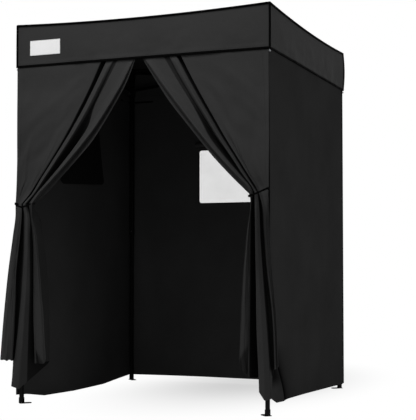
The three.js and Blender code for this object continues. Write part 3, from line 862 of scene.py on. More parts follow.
    def _cord_tree(self) -> Tree:
        """A round cord along every line, closed at its ends.

        Returns:
            The tree.
        """
        desk, inlet, outlet = self._tree("round_cord", {"Radius": "Float", "Cover": "Material"})
        given = inlet.outputs
        curve = desk.add("GeometryNodeMeshToCurve", {"Mesh": given["Path"]}).outputs["Curve"]
        ring = desk.add("GeometryNodeCurvePrimitiveCircle", {"Resolution": 12, "Radius": given["Radius"]})
        shape = {"Curve": curve, "Profile Curve": ring.outputs["Curve"], "Fill Caps": True}
        tube = desk.add("GeometryNodeCurveToMesh", shape)
        return self._end(desk, tube.outputs["Mesh"], given["Cover"], outlet)

    def stitches(self, name: str, lines: Sequence[Line], through: float, pitch: float = 0.006) -> Object:
        """Rows of stitches.

        Args:
            name: The piece's name.
            lines: For each row its points and the cloth's outward direction there.
            through: How far a stitch reaches through the cloth, both sides together.
            pitch: Distance from stitch to stitch.

        Returns:
            The new object.
        """
        values = {"Pitch": pitch, "Size": (pitch * 0.68, 0.0011, through)}
        return self._bake(name, lines, self.stitch_tree, {**values, "Thread": self.materials[Finish.THREAD]})

    def cord(self, name: str, lines: Sequence[Line], radius: float, finish: Finish) -> Object:
        """A round cord along lines."""
        return self._bake(name, lines, self.cord_tree, {"Radius": radius, "Cover": self.materials[finish]})


def along_grid(middle: Array, row: Optional[float] = None, column: Optional[float] = None) -> Array:
    """A line of points across a grid.

    Args:
        middle: The grid's points.
        row: The share of its rows at which the line runs, or None.
        column: The share of its columns, where row is None.

    Returns:
        The line's points.
    """
    if row is None:
        middle, row = middle.swapaxes(0, 1), column
    place = row * (len(middle) - 1)
    low = min(int(place), len(middle) - 2)
    return middle[low] * (1 - place + low) + middle[low + 1] * (place - low)


def sag(along: Array) -> Array:
    """How far a taut edge hangs below its corners."""
    return CANOPY_SAG * (1 - (np.asarray(along, float) / HALF) ** 2)


@dataclass(frozen=True)
class Belonging:
    """How a finished piece belongs to the frame.

    Attributes:
        slot: The record's material slot; not used.
        gather: The body that it rides on.
    """

    slot: str
    gather: Gather

    def apply(self, piece: Object) -> Object:
        """Sets the piece's body and reports it.

        Args:
            piece: The finished piece.

        Returns:
            The same piece.
        """
        self.gather.dress(piece)
        LOG.info("made %s", piece.name)
        return piece


@dataclass
class FabricTop:
    """The roof in two halves, the four valances, their piping and the bare patch.

    Attributes:
        shop: The workshop.
        drop: Height of the cut valance.
        piping: Radius of the piping along the edges.
        eyelet: Radius of the eyelets at the corners.
        binding: Height of the near-black binding along the valances' lower edges, partly a real binding and
            partly painted shade for the shadow gap there.
        patch: The patch's left, right, lower and upper edges, along the front and above the floor.
        patch_cut: Width and height of the cut patch.
        patch_seam: How far inside the patch's edges its stitches run.
        tab: Declared width and length of a corner's flat tab, a guess.
        wrinkles: The top's wrinkles.
    """

    shop: Workshop
    drop: float = 0.243
    piping: float = 0.0062
    eyelet: float = 0.0052
    binding: float = 0.011
    patch: tuple[float, float, float, float] = (-0.675, -0.482, 1.98, 2.064)
    patch_cut: tuple[float, float] = (0.194, 0.086)
    patch_seam: float = 0.003
    tab: tuple[float, float] = (0.02, 0.034)
    wrinkles: Wrinkles = field(default_factory=lambda: Wrinkles(3))

    def build(self) -> None:
        """Makes the whole top."""
        for way, label in ((-1, "left"), (1, "right")):
            self._roof(way, label)
        for side in Side:
            self._valance(side)
        self._corner_piping()

    def _roof(self, way: int, label: str) -> None:
        """Makes one half of the roof, with its half of the middle seam.

        Args:
            way: -1 for the left half and 1 for the right half.
            label: The half's name in piece names.
        """
        seam_band = 0.012
        across = steps((0.0002, seam_band, HALF - SEAM_GAP), 0.02)
        x, y = np.meshgrid(across, steps((-HALF + SEAM_GAP, HALF - SEAM_GAP), 0.02))
        calm = (1 - (x / HALF) ** 4) * (1 - (y / HALF) ** 4)
        lift = 0.0016 * self.wrinkles.layered(x * 6 + 3 * way, y * 6) * calm
        height = CANOPY_TOP - CLOTH / 2 - sag(x) - sag(y) + lift
        middle = np.stack([way * x, y + CENTRE_Y, height], -1)
        thick = CLOTH + 0.0016 * (1 - smooth(seam_band, seam_band + 0.004, x))
        roof = self.shop.sheet(f"roof_cloth_{label}", middle, Finish.CANOPY, thick, (HALF, 2 * HALF))
        belongs = Belonging("canopy_fabric", GATHERS[f"roof_{label}"])
        belongs.apply(roof)
        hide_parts(f"roof_{label}")
        up = np.array([0.0, 0.0, 1.0])
        rows = [(along_grid(middle, column=share), up) for share in (0.006, 0.0155)]
        seam = belongs.apply(self.shop.stitches(f"roof_seam_stitches_{label}", rows, 0.0034))

    def _valance_out(self, side: Side, s: Array, t: Array, height: Array, end: float) -> Array:
        """How far a valance's cloth lies from the canopy's centre.

        Args:
            side: The valance's side.
            s: Distance from the middle of the side.
            t: Share of the way from the top to the lower edge.
            height: Height above the floor.
            end: Half the valance's width.

        Returns:
            Distances outwards.
        """
        ends = 1 - np.abs(s / end) ** 6
        belly = 0.002 * np.sin(math.pi * t) * ends
        seed = list(Side).index(side)
        slow = 0.005 * self.wrinkles.layered(s * 5 + 11 * seed, t * 1.6)
        quick = 0.0024 * self.wrinkles.at(s * 15 + 1.6 * t + 5 * seed, t * 2)
        ripple = (slow + quick) * t * ends
        if side is Side.FRONT:
            ripple = ripple * smooth(0.0, 0.08, np.maximum(-0.7 - s, s + 0.46))
        out = HALF - CLOTH / 2 + belly + np.abs(ripple)
        if side in (Side.LEFT, Side.RIGHT):
            back = s if side is Side.RIGHT else -s
            rise = (height - VALANCE_BOTTOM) / (CANOPY_TOP - VALANCE_BOTTOM)
            out = out + 0.0068 * np.sin(math.pi * rise) * smooth(end - 0.22, end, back)
        return out

    def _valance(self, side: Side) -> None:
        """Makes one valance with its hem, stitches, top piping and, in front, the bare patch.

        Args:
            side: The valance's side.
        """
        end = HALF if side in (Side.FRONT, Side.BACK) else HALF - SEAM_GAP
        name, outward = side.label, side.outward
        along = steps((-end, end), 0.018)
        s, t = np.meshgrid(along, np.concatenate([np.linspace(0, 0.89, 16), np.linspace(0.905, 1, 5)]))
        top = CANOPY_TOP - sag(s)
        height = top + (VALANCE_BOTTOM - top) * t
        out = self._valance_out(side, s, t, height, end)
        middle = side.place(s, out, height)
        thick = CLOTH + 0.0012 * smooth(0.895, 0.905, t)
        flat = (2 * end, self.drop)
        lining = (Finish.LINING, -outward)
        cloth = self.shop.sheet(f"valance_cloth_{name}", middle, Finish.CANOPY, thick, flat, lining=lining)
        belongs = Belonging("canopy_fabric", GATHERS[name])
        belongs.apply(cloth)
        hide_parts(f"valance_{name}")
        rows = [(along_grid(middle, row=share), outward) for share in (0.81, 0.035)]
        trim = [belongs.apply(self.shop.stitches(f"valance_stitches_{name}", rows, 0.0032))]
        edge = np.linspace(-end, end, 60)
        line = side.place(edge, HALF + 0.0005, CANOPY_TOP - sag(edge) - 0.001)
        cord = self.shop.cord(f"top_piping_{name}", [(line, outward)], self.piping, Finish.PIPING)
        trim.append(belongs.apply(cord))
        # The near-black binding is partly painted shade for the shadow gap below the valance
        trim.append(belongs.apply(self._valance_binding_and_shade(side, along, out[-1], end)))
        if side is Side.FRONT:
            trim += self._patch(belongs)

    def _valance_binding_and_shade(self, side: Side, along: Array, out: Array, end: float) -> Object:
        """The binding folded round a valance's lower edge: partly a real binding, partly painted shade, as its
        near-black band stands for the shadow gap below the valance.

        Args:
            side: The valance's side.
            along: Places along the side.
            out: How far the lower edge lies from the canopy's centre at each.
            end: Half the valance's width.

        Returns:
            The new object.
        """
        bottom = side.place(along, out, np.full(len(along), VALANCE_BOTTOM))
        gap, under = 0.0024, -0.0016
        profile = ((gap, self.binding), (gap, 0.0), (0.0, under), (-gap, 0.0), (-gap, self.binding))
        band = np.stack([bottom + reach * side.outward + np.array([0.0, 0.0, rise]) for reach, rise in profile])
        name = f"valance_binding_{side.label}"
        return self.shop.sheet(name, band, Finish.WEBBING, 0.0012, (2 * end, 0.024))

    def _patch(self, belongs: Belonging) -> list[Object]:
        """Makes the bare white patch on the front valance, with its seam.

        Args:
            belongs: How the front valance belongs to the frame.

        Returns:
            The seam's stitches.
        """
        left, right, low, high = self.patch
        s, z = np.meshgrid(np.linspace(left, right, 24), np.linspace(high, low, 14))
        middle = Side.FRONT.place(s, HALF + 0.0034, z)
        border = np.minimum(np.minimum(s - left, right - s), np.minimum(high - z, z - low))
        thick = 0.0006 + 0.0006 * smooth(0.0, 0.004, border)
        patch = self.shop.sheet("plain_patch", middle, Finish.PATCH, thick, self.patch_cut)
        belongs.apply(patch)
        inset = self.patch_seam
        s0, s1, z0, z1 = left + inset, right - inset, low + inset, high - inset
        corners = [(s0, z0), (s1, z0), (s1, z1), (s0, z1), (s0, z0)]
        runs = [np.linspace(a, b, 30) for a, b in zip(corners, corners[1:])]
        line = np.concatenate([Side.FRONT.place(run[:, 0], HALF + 0.0036, run[:, 1]) for run in runs])
        seam = self.shop.stitches("patch_stitches", [(line, Side.FRONT.outward)], 0.0012, 0.0045)
        return [belongs.apply(seam)]

    def _corner_piping(self) -> None:
        """Makes the piping down each corner of the valances, with an eyelet on a tab below it."""
        corners = {
            (-1, -1): Body.FRONT_LEFT,
            (1, -1): Body.FRONT_RIGHT,
            (-1, 1): Body.BACK_LEFT,
            (1, 1): Body.BACK_RIGHT,
        }
        height = np.linspace(CANOPY_TOP + 0.001, VALANCE_BOTTOM - 0.001, 20)
        bow = np.sin(math.pi * (height - VALANCE_BOTTOM) / (CANOPY_TOP - VALANCE_BOTTOM))
        for (x, y), body in corners.items():
            name = body.value.replace("leg_", "")
            out = np.array([x, y, 0.0]) / math.sqrt(2)
            slack = (0.007 if y > 0 else 0.0005) * bow
            across = np.full(20, y * (HALF + 0.0005) + CENTRE_Y)
            line = np.stack([x * (HALF + 0.0005 + slack), across, height], -1)
            cord = self.shop.cord(f"corner_piping_{name}", [(line, out)], self.piping, Finish.PIPING)
            ring = self._eyelet(name, x, y, out)
            tab = self._tab(name, x, y)
            for piece, slot in ((cord, "canopy_fabric"), (ring, "zinc_steel"), (tab, "canopy_fabric")):
                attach(piece, body.value)
                LOG.info("made %s", piece.name)

    def _tab(self, name: str, x: int, y: int) -> Object:
        """The webbing tab at the foot of a corner's piping.

        Args:
            name: The corner's name in piece names.
            x: -1 for a left corner and 1 for a right one.
            y: -1 for a front corner and 1 for a back one.

        Returns:
            The new object.
        """
        levels = np.linspace(VALANCE_BOTTOM + 0.012, VALANCE_BOTTOM - 0.022, 12)
        s, z = np.meshgrid(np.linspace(-1, 1, 9), levels)
        near, far = 0.004, 0.004 + 0.008 * np.abs(s)
        across = x * (HALF - np.where(s < 0, far, near))
        deep = y * (HALF - np.where(s > 0, far, near)) + CENTRE_Y
        points = np.stack([across, deep, z], -1)
        return self.shop.sheet(f"corner_tab_{name}", points, Finish.WEBBING, 0.0012, self.tab)

    def _eyelet(self, name: str, x: int, y: int, out: Array) -> Object:
        """The metal eyelet in a corner's tab.

        Args:
            name: The corner's name in piece names.
            x: -1 for a left corner and 1 for a right one.
            y: -1 for a front corner and 1 for a back one.
            out: The direction out of the corner.

        Returns:
            The new object.
        """
        side, up = np.array([-out[1], out[0], 0.0]), np.array([0.0, 0.0, 1.0])
        turn = np.linspace(0, 2 * math.pi, 25)[:, None]
        corner = HALF + 0.001
        centre = np.array([x * corner, y * corner + CENTRE_Y, VALANCE_BOTTOM - 0.011])
        line = centre + self.eyelet * 0.8 * (np.cos(turn) * side + np.sin(turn) * up)
        return self.shop.cord(f"corner_eyelet_{name}", [(line, out)], 0.0015, Finish.ZINC)


@dataclass
class Wall:
    """One wall of the room, with its hems, seams and, where it has one, its window's binding and pane.

    Attributes:
        shop: The workshop.
        side: Which side it closes.
        hem: Heights of its lower edge, from its left end to its right end as seen from outside.
        window: The level of its window's middle, or None.
        binding: Width of the binding round the window.
        pane_margin: How far the pane reaches past the opening.
        cut_height: Height of the cut wall.
        seed: The fixed seed of its wrinkles.
    """

    # Width of the hems, and the level below which the rows of points follow the lower edge
    HEM = 0.02
    SKIRT = 0.12
    # The right wall's slack fold: where its foot starts and where its finer grid ends, sideways and up
    FOLD_START = -0.75
    FOLD_END = -0.4
    FOLD_TOP = 0.46
    # Grid spacing across and down, and the finer one about the slack fold
    GRID = (0.016, 0.02)
    FINE_GRID = (0.0062, 0.009)

    shop: Workshop
    side: Side
    hem: tuple[tuple[float, float], ...]
    window: Optional[float] = None
    binding: float = 0.022
    pane_margin: float = 0.004
    cut_height: float = 1.92
    seed: int = 1

    def __post_init__(self) -> None:
        """Draws the wall's wrinkles and sets what follows from its side."""
        self.wrinkles = Wrinkles(self.seed)
        self.half = WALL_LINE if self.side is Side.BACK else WALL_LINE - 0.001
        self.belongs = Belonging("wall_fabric", GATHERS[self.side.label])

    def hem_at(self, along: Array) -> Array:
        """The height of the lower edge."""
        return np.interp(along, *zip(*self.hem))

    def ripple(self, along: Array, height: Array) -> Array:
        """How far the cloth stands out of its plane.

        Args:
            along: Distance from the middle of the side.
            height: Height above the floor.

        Returns:
            Distances outwards.
        """
        ends = 1 - np.abs(along / self.half) ** 8
        hang = smooth(WALL_TOP, WALL_TOP - 0.5, height)
        low = 0.004 * self.wrinkles.at(along * 1.6 + 3, height * 0.9)
        folds = 0.0008 * self.wrinkles.at(along * 5, height * 1.2 + 9)
        fine = 0.0003 * self.wrinkles.at(along * 12 + 5, height * 6)
        out = (low + folds) * hang * ends + fine * ends
        if self.window is not None:
            beside = np.abs(along) / (WINDOW_WIDTH / 2 + 0.1)
            above = np.abs(height - self.window) / (WINDOW_HEIGHT / 2 + 0.1)
            out = out * smooth(0.85, 1.3, np.maximum(beside, above))
        if self.side is Side.RIGHT:
            out = out + self._front_corner(along, height)
        return out

    @classmethod
    def _front_corner(cls, along: Array, height: Array) -> Array:
        """The slack fold at the lower front corner of the right wall.

        Args:
            along: Distance from the middle of the side.
            height: Height above the floor.

        Returns:
            Distances outwards.
        """
        past = along - cls.crease(height)
        behind = np.maximum(past, 0.0)
        fold = np.where(past < 0, smooth(-0.14, 0.006, past), np.exp(-behind / 0.06))
        pit = 0.5 * smooth(0.0, 0.05, past) * np.exp(-behind / 0.09)
        edge = 0.008 * smooth(0.722, 0.757, along)
        return (0.008 * fold - 0.004 * pit) * smooth(0.44, 0.20, height) - edge

    @classmethod
    def crease(cls, height: Array) -> Array:
        """Where the slack fold at the right wall's front corner runs."""
        return cls.FOLD_START + 0.2 * smooth(0.42, 0.03, height)

    def point(self, along: Array, height: Array) -> Array:
        """Points of the wall's middle layer."""
        return self.side.place(along, WALL_LINE + self.ripple(along, height), height)

    def _grid(self) -> Line:
        """Places along the wall, and levels down to its skirt.

        Returns:
            The places and the levels.
        """
        end, top = self.half - self.HEM, (WALL_TOP, WALL_TOP - self.HEM)
        if self.side is Side.RIGHT:
            near = steps((-self.half, self.FOLD_START, self.FOLD_END), self.FINE_GRID[0])[:-1]
            along = np.concatenate([near, steps((self.FOLD_END, end, self.half), self.GRID[0])])
            upper = steps((*top, self.FOLD_TOP), self.GRID[1])[:-1]
            return along, np.concatenate([upper, steps((self.FOLD_TOP, self.SKIRT), self.FINE_GRID[1])])
        beside, levels = [], []
        if self.window is not None:
            beside = [-WINDOW_WIDTH / 2, WINDOW_WIDTH / 2]
            levels = [self.window + WINDOW_HEIGHT / 2, self.window - WINDOW_HEIGHT / 2]
        along = steps((-self.half, -end, *beside, end, self.half), self.GRID[0])
        return along, steps((*top, *levels, self.SKIRT), self.GRID[1])

    def _lean_to_fold(self, s: Array, z: Array, foot: Array) -> tuple[Array, Array, tuple[Array, int]]:
        """Leans the right wall's grid along its slack fold.

        Args:
            s: Places along the wall.
            z: Heights.
            foot: The lower edge's height below each upright grid line.

        Returns:
            The new places and heights, and painted shade on its outer face: a dark wedge behind the slack
            fold's crease and a dark hollow in front of it, between about 0.13 and 0.40 m up.
        """
        share = np.interp(s, (-self.half, self.FOLD_START, self.FOLD_END), (0, 1, 0))
        s = s + (self.crease(z) - self.FOLD_START) * share * (s < self.FOLD_END)
        down = (self.SKIRT - z) / np.maximum(self.SKIRT - foot[None, :], 1e-9)
        z = np.where(z < self.SKIRT, self.SKIRT + (self.hem_at(s) - self.SKIRT) * down, z)
        past = s - self.crease(z)
        # Painted shade: the dark wedge behind the crease and the dark hollow in front of it
        wedge = smooth(-0.004, 0.012, past) * np.exp(-np.maximum(past - 0.03, 0.0) / 0.09)
        wedge = wedge * smooth(0.41, 0.3, z)
        hollow = smooth(0.40, 0.35, z) * smooth(0.13, 0.2, z) * smooth(0.02, -0.02, past)
        return s, z, (np.clip(wedge + 0.9 * hollow, 0.0, 1.0), 1)

    def build(self) -> None:
        """Makes the wall and what is sewn to it."""
        half, name = self.half, self.side.label
        along, heights = self._grid()
        s, z = np.meshgrid(along, heights)
        foot = self.hem_at(along)
        lower = np.linspace(0, 1, 9)[1:]
        z = np.concatenate([z, self.SKIRT + (foot[None, :] - self.SKIRT) * lower[:, None]])
        s = np.concatenate([s, np.repeat(along[None, :], len(lower), 0)])
        keep, depth, opening = None, None, 0.0
        if self.side is Side.RIGHT:
            # The right wall's slack fold gets painted shade through depth
            s, z, depth = self._lean_to_fold(s, z, foot)
        if self.window is not None:
            opening = WINDOW_WIDTH * WINDOW_HEIGHT
            cs, cz = (s[:-1, :-1] + s[1:, 1:]) / 2, (z[:-1, :-1] + z[1:, 1:]) / 2
            keep = ~((np.abs(cs) < WINDOW_WIDTH / 2) & (np.abs(cz - self.window) < WINDOW_HEIGHT / 2))
        edge = np.minimum(np.minimum(half - np.abs(s), z - self.hem_at(s)), WALL_TOP - z)
        thick = CLOTH + 0.0011 * (1 - smooth(self.HEM - 0.004, self.HEM, edge))
        flat = (2 * half, self.cut_height)
        lining = (Finish.LINING, -self.side.outward)
        options = {"keep": keep, "lining": lining, "depth": depth}
        cloth = self.shop.sheet(f"wall_cloth_{name}", self.point(s, z), Finish.WALL, thick, flat, **options)
        self.belongs.apply(cloth)
        trim = [self._seams(name)]
        if self.window is not None:
            trim += self._window_trim(name)
        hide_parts(f"wall_{name}")

    def _seams(self, name: str) -> Object:
        """The stitches along the hem and both upright edges.

        Args:
            name: The side's name in piece names.

        Returns:
            The new object.
        """
        inset = 0.018
        inside, out = self.half - inset, self.side.outward
        along = np.linspace(-inside, inside, 120)
        height = np.linspace(WALL_TOP - self.HEM, 0.1, 140)
        lines = [(self.point(along, self.hem_at(along) + inset), out)]
        lines += [(self.point(np.full(140, way * inside), height), out) for way in (-1, 1)]
        return self.belongs.apply(self.shop.stitches(f"wall_stitches_{name}", lines, 0.0032, 0.007))

    @staticmethod
    def outline(grow: float, count: int) -> Line:
        """A rounded rectangle about a window, bigger than its opening by a margin.

        Args:
            grow: The margin.
            count: How many points it has.

        Returns:
            Places sideways and up from the window's middle.
        """
        radius = WINDOW_CORNER + grow
        a, b = WINDOW_WIDTH / 2 + grow - radius, WINDOW_HEIGHT / 2 + grow - radius
        turn = np.linspace(0, math.pi / 2, count // 8)
        xs, zs = [], []
        for quarter, (x, z) in enumerate(((a, b), (-a, b), (-a, -b), (a, -b))):
            xs.append(x + radius * np.cos(turn + quarter * math.pi / 2))
            zs.append(z + radius * np.sin(turn + quarter * math.pi / 2))
        xs, zs = np.concatenate(xs), np.concatenate(zs)
        xs, zs = np.append(xs, xs[0]), np.append(zs, zs[0])
        run = np.append(0, np.cumsum(np.hypot(np.diff(xs), np.diff(zs))))
        places = np.linspace(0, run[-1], count, endpoint=False)
        return np.interp(places, run, xs), np.interp(places, run, zs)

    def _ring(self, grow: float, count: int) -> Line:
        """A closed line on the wall round the window, with its outward direction.

        Args:
            grow: How far it lies outside the opening.
            count: How many points it has.

        Returns:
            The line.
        """
        x, z = self.outline(grow, count)
        x, z = np.append(x, x[0]), np.append(z, z[0])
        return self.point(x, z + self.window), self.side.outward

    def _window_trim(self, name: str) -> list[Object]:
        """The binding round the window, its two rows of stitches, its edging and the pane.

        Args:
            name: The side's name in piece names.

        Returns:
            The binding, the stitches and the edging.
        """
        count, width = 128, self.binding
        grows = (-0.0005, 0.0012, 0.006, 0.011, 0.016, width - 0.0015, width)
        s, z = (np.stack([self.outline(grow, count)[axis] for grow in grows]) for axis in (0, 1))
        thick = np.array([0.0012, 0.0026, 0.003, 0.003, 0.003, 0.0026, 0.0014])[:, None] + 0 * s
        middle = self.point(s, z + self.window)
        band = self.shop.sheet(f"window_binding_{name}", middle, Finish.LINING, thick, (1.7, 0.023), wrap=True)
        self.belongs.apply(band)
        lines = [self._ring(grow, count) for grow in (0.0035, 0.0185)]
        threads = self.belongs.apply(self.shop.stitches(f"window_stitches_{name}", lines, 0.0042, 0.005))
        edging = self.shop.cord(f"window_edging_{name}", [self._ring(0.0015, count)], 0.0034, Finish.PIPING)
        self.belongs.apply(edging)
        self._pane(name)
        return [band, threads, edging]

    def _pane(self, name: str) -> None:
        """Makes the window's clear pane.

        Args:
            name: The side's name in piece names.
        """
        a, b = WINDOW_WIDTH / 2 + self.pane_margin, WINDOW_HEIGHT / 2 + self.pane_margin
        s, z = np.meshgrid(steps((-a, a), 0.02), steps((b, -b), 0.02))
        calm = (1 - (s / 0.25) ** 4) * (1 - (z / 0.19) ** 4)
        bow = 0.0025 * self.wrinkles.at(s * 6 + 3, z * 5 + 8) * calm
        middle = self.point(s, z + self.window) + bow[..., None] * self.side.outward
        flat = (0.488, 0.368)
        pane = self.shop.sheet(f"window_vinyl_{name}", middle, Finish.VINYL, 0.0005, flat)
        Belonging("clear_vinyl", GATHERS[name]).apply(pane)
        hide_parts(f"window_pane_{name}")


@dataclass
class RolledCover:
    """The back window's cover, rolled up above the window and held by two ties.

    Attributes:
        shop: The workshop.
        radius: Radius of the whole roll.
        pitch: Distance from layer to layer.
        turns: How often it is rolled.
        length: Length of the roll.
        rolled: Declared length of the cloth, which is the modelled roll's own.
        tie: Declared width and length of a flat tie, a guess.
    """

    shop: Workshop
    radius: float = 0.0145
    pitch: float = 0.0019
    turns: float = 6.5
    length: float = 0.52
    rolled: float = 0.34
    tie: tuple[float, float] = (0.012, 0.16)

    def __post_init__(self) -> None:
        """Sets where the roll's middle lies."""
        self.level = BACK_WINDOW_MID + WINDOW_HEIGHT / 2 + 0.036
        self.inward = WALL_LINE - self.radius - 0.0012

    def build(self) -> None:
        """Makes the roll and its ties."""
        turn = np.linspace(0, self.turns * 2 * math.pi, 150)[:, None]
        reach = self.radius - self.pitch * turn / (2 * math.pi)
        out = reach * np.sin(turn + math.pi / 2)
        height = self.level + reach * np.cos(turn + math.pi / 2) * -1
        along = np.linspace(-self.length / 2, self.length / 2, 41)[None, :]
        wrinkles = Wrinkles(21)
        scallops = np.abs(along / (self.length / 2) * 5 % 2 - 1) - 0.5
        droop = 0.0025 * scallops + 0.001 * wrinkles.at(along * 12, 0 * along)
        swell = 1 + 0.05 * wrinkles.at(along * 9, turn * 0.3)
        middle = Side.BACK.place(along, self.inward + out * swell, height + droop)
        flat = (self.length, self.rolled)
        roll = self.shop.sheet("rolled_window_cover", middle, Finish.LINING, 0.0007, flat)
        belongs = Belonging("wall_fabric", GATHERS["back"])
        belongs.apply(roll)
        for tie in [belongs.apply(self._tie(way, label)) for way, label in ((-1, "left"), (1, "right"))]:
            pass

    def _tie(self, way: int, label: str) -> Object:
        """One webbing tie: a loop round the roll with a tail that hangs below it.

        Args:
            way: -1 for the left tie and 1 for the right one.
            label: The tie's name in piece names.

        Returns:
            The new object.
        """
        at, half = way * 0.156, self.tie[0] / 2
        turn = np.linspace(0.5 * math.pi, 2.35 * math.pi, 40)
        reach = self.radius + 0.0022
        out = self.inward + reach * np.sin(turn)
        height = self.level - reach * np.cos(turn) * 1.04
        tail = np.linspace(0.002, 0.04, 12)
        out = np.append(out, out[-1] - 0.12 * tail)
        height = np.append(height, height[-1] - tail)
        s = np.linspace(at - half, at + half, 5)
        middle = Side.BACK.place(s[None, :], out[:, None], height[:, None])
        return self.shop.sheet(f"window_cover_tie_{label}", middle, Finish.WEBBING, 0.0013, self.tie)


@dataclass
class LooseCover:
    """The left window's cover, which hangs from its top seam and leans into the room.

    Attributes:
        shop: The workshop.
        margin: How far it reaches past the opening.
        lean: How far its lower edge stands off the wall.
        front_dip: How much lower its front corner hangs than its back one.
    """

    shop: Workshop
    margin: float = 0.02
    lean: float = 0.045
    front_dip: float = 0.022

    def build(self) -> None:
        """Makes the cover with its hem's stitches."""
        width, length = WINDOW_WIDTH + 2 * self.margin, WINDOW_HEIGHT + 2 * self.margin
        radius = WINDOW_CORNER + self.margin
        down = steps((0.0, radius, length - radius, length), 0.012)
        near = np.minimum(down, length - down)
        round_off = radius - np.sqrt(np.maximum(radius**2 - (radius - near) ** 2, 0.0))
        half = (width / 2 - np.where(near < radius, round_off, 0.0))[:, None]
        share = np.linspace(-1, 1, 40)[None, :]
        down, near = down[:, None], near[:, None]
        s, t = share * half, down / length
        hang = self.lean * (0.75 * t + 0.25 * t**2) * (0.6 - 0.4 * share)
        hang = hang + 0.003 * Wrinkles(31).at(s * 6, t * 2.5) * t
        top = LEFT_WINDOW_MID + length / 2
        fall = np.sqrt(np.maximum(down**2 - hang**2, 0))
        height = top - fall - self.front_dip * t * (share + 1) / 2
        middle = Side.LEFT.place(s, WALL_LINE - 0.0014 - hang, height)
        thick = CLOTH + 0.001 * (1 - smooth(0.012, 0.015, np.minimum(half - np.abs(s), near)))
        cover = self.shop.sheet("loose_window_cover", middle, Finish.COVER, thick, (width, length))
        belongs = Belonging("wall_fabric", GATHERS["flap"])
        belongs.apply(cover)
        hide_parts("window_flap_left")
        outward = Side.LEFT.outward
        rows = [(along_grid(middle, row=share), outward) for share in (0.035, 0.965)]
        rows += [(along_grid(middle, column=share)[2:-2], outward) for share in (0.027, 0.973)]
        seam = belongs.apply(self.shop.stitches("loose_window_cover_stitches", rows, 0.0028))


def through(x: Array, values: Array, at: Array) -> Array:
    """A smooth line through given values.

    Args:
        x: Increasing places.
        values: One row for each place.
        at: Where to read the line.

    Returns:
        One row for each value of at.
    """
    x, values, at = np.asarray(x, float), np.asarray(values, float), np.asarray(at, float)
    step = np.diff(x)[:, None]
    slope = np.diff(values, axis=0) / step
    inner = (slope[:-1] * step[1:] + slope[1:] * step[:-1]) / (step[:-1] + step[1:])
    tangent = np.concatenate([slope[:1], inner, slope[-1:]])
    k = np.clip(np.searchsorted(x, at, side="right") - 1, 0, len(x) - 2)
    h = (x[k + 1] - x[k])[:, None]
    t = ((at - x[k]) / (x[k + 1] - x[k]))[:, None]
    return (
        (1 + 2 * t) * (1 - t) ** 2 * values[k]
        + t * (1 - t) ** 2 * h * tangent[k]
        + t * t * (3 - 2 * t) * values[k + 1]
        + t * t * (t - 1) * h * tangent[k + 1]
    )


def folded_run(corners: Array, radii: Sequence[float], spans: Sequence[int], per_fold: int = 7) -> Array:
    """Points along runs of folds: straight between the folds and rounded at each.

    Args:
        corners: Rows by corners by coordinates.
        radii: How far from its corner each fold begins to bend.
        spans: Points between one fold and the next.
        per_fold: Points round each fold.

    Returns:
        Rows by points by coordinates.
    """
    leg = np.diff(corners, axis=1)
    length = np.linalg.norm(leg, axis=2, keepdims=True)
    toward = leg / np.maximum(length, 1e-9)
    parts = [corners[:, :1]]
    last = corners[:, 0]
    for k in range(1, corners.shape[1]):
        corner = corners[:, k]
        final = k == corners.shape[1] - 1
        reach = 0 if final else np.minimum(radii[k], 0.45 * np.minimum(length[:, k - 1], length[:, k]))
        start = corner - toward[:, k - 1] * reach
        t = np.linspace(0, 1, spans[k - 1] + 2)[None, 1 : (None if final else -1), None]
        parts.append(last[:, None] * (1 - t) + start[:, None] * t)
        if not final:
            last = corner + toward[:, k] * reach
            t = np.linspace(0, 1, per_fold)[None, :, None]
            bend = (1 - t) ** 2 * start[:, None] + 2 * t * (1 - t) * corner[:, None]
            parts.append(bend + t * t * last[:, None])
    return np.concatenate(parts, 1)


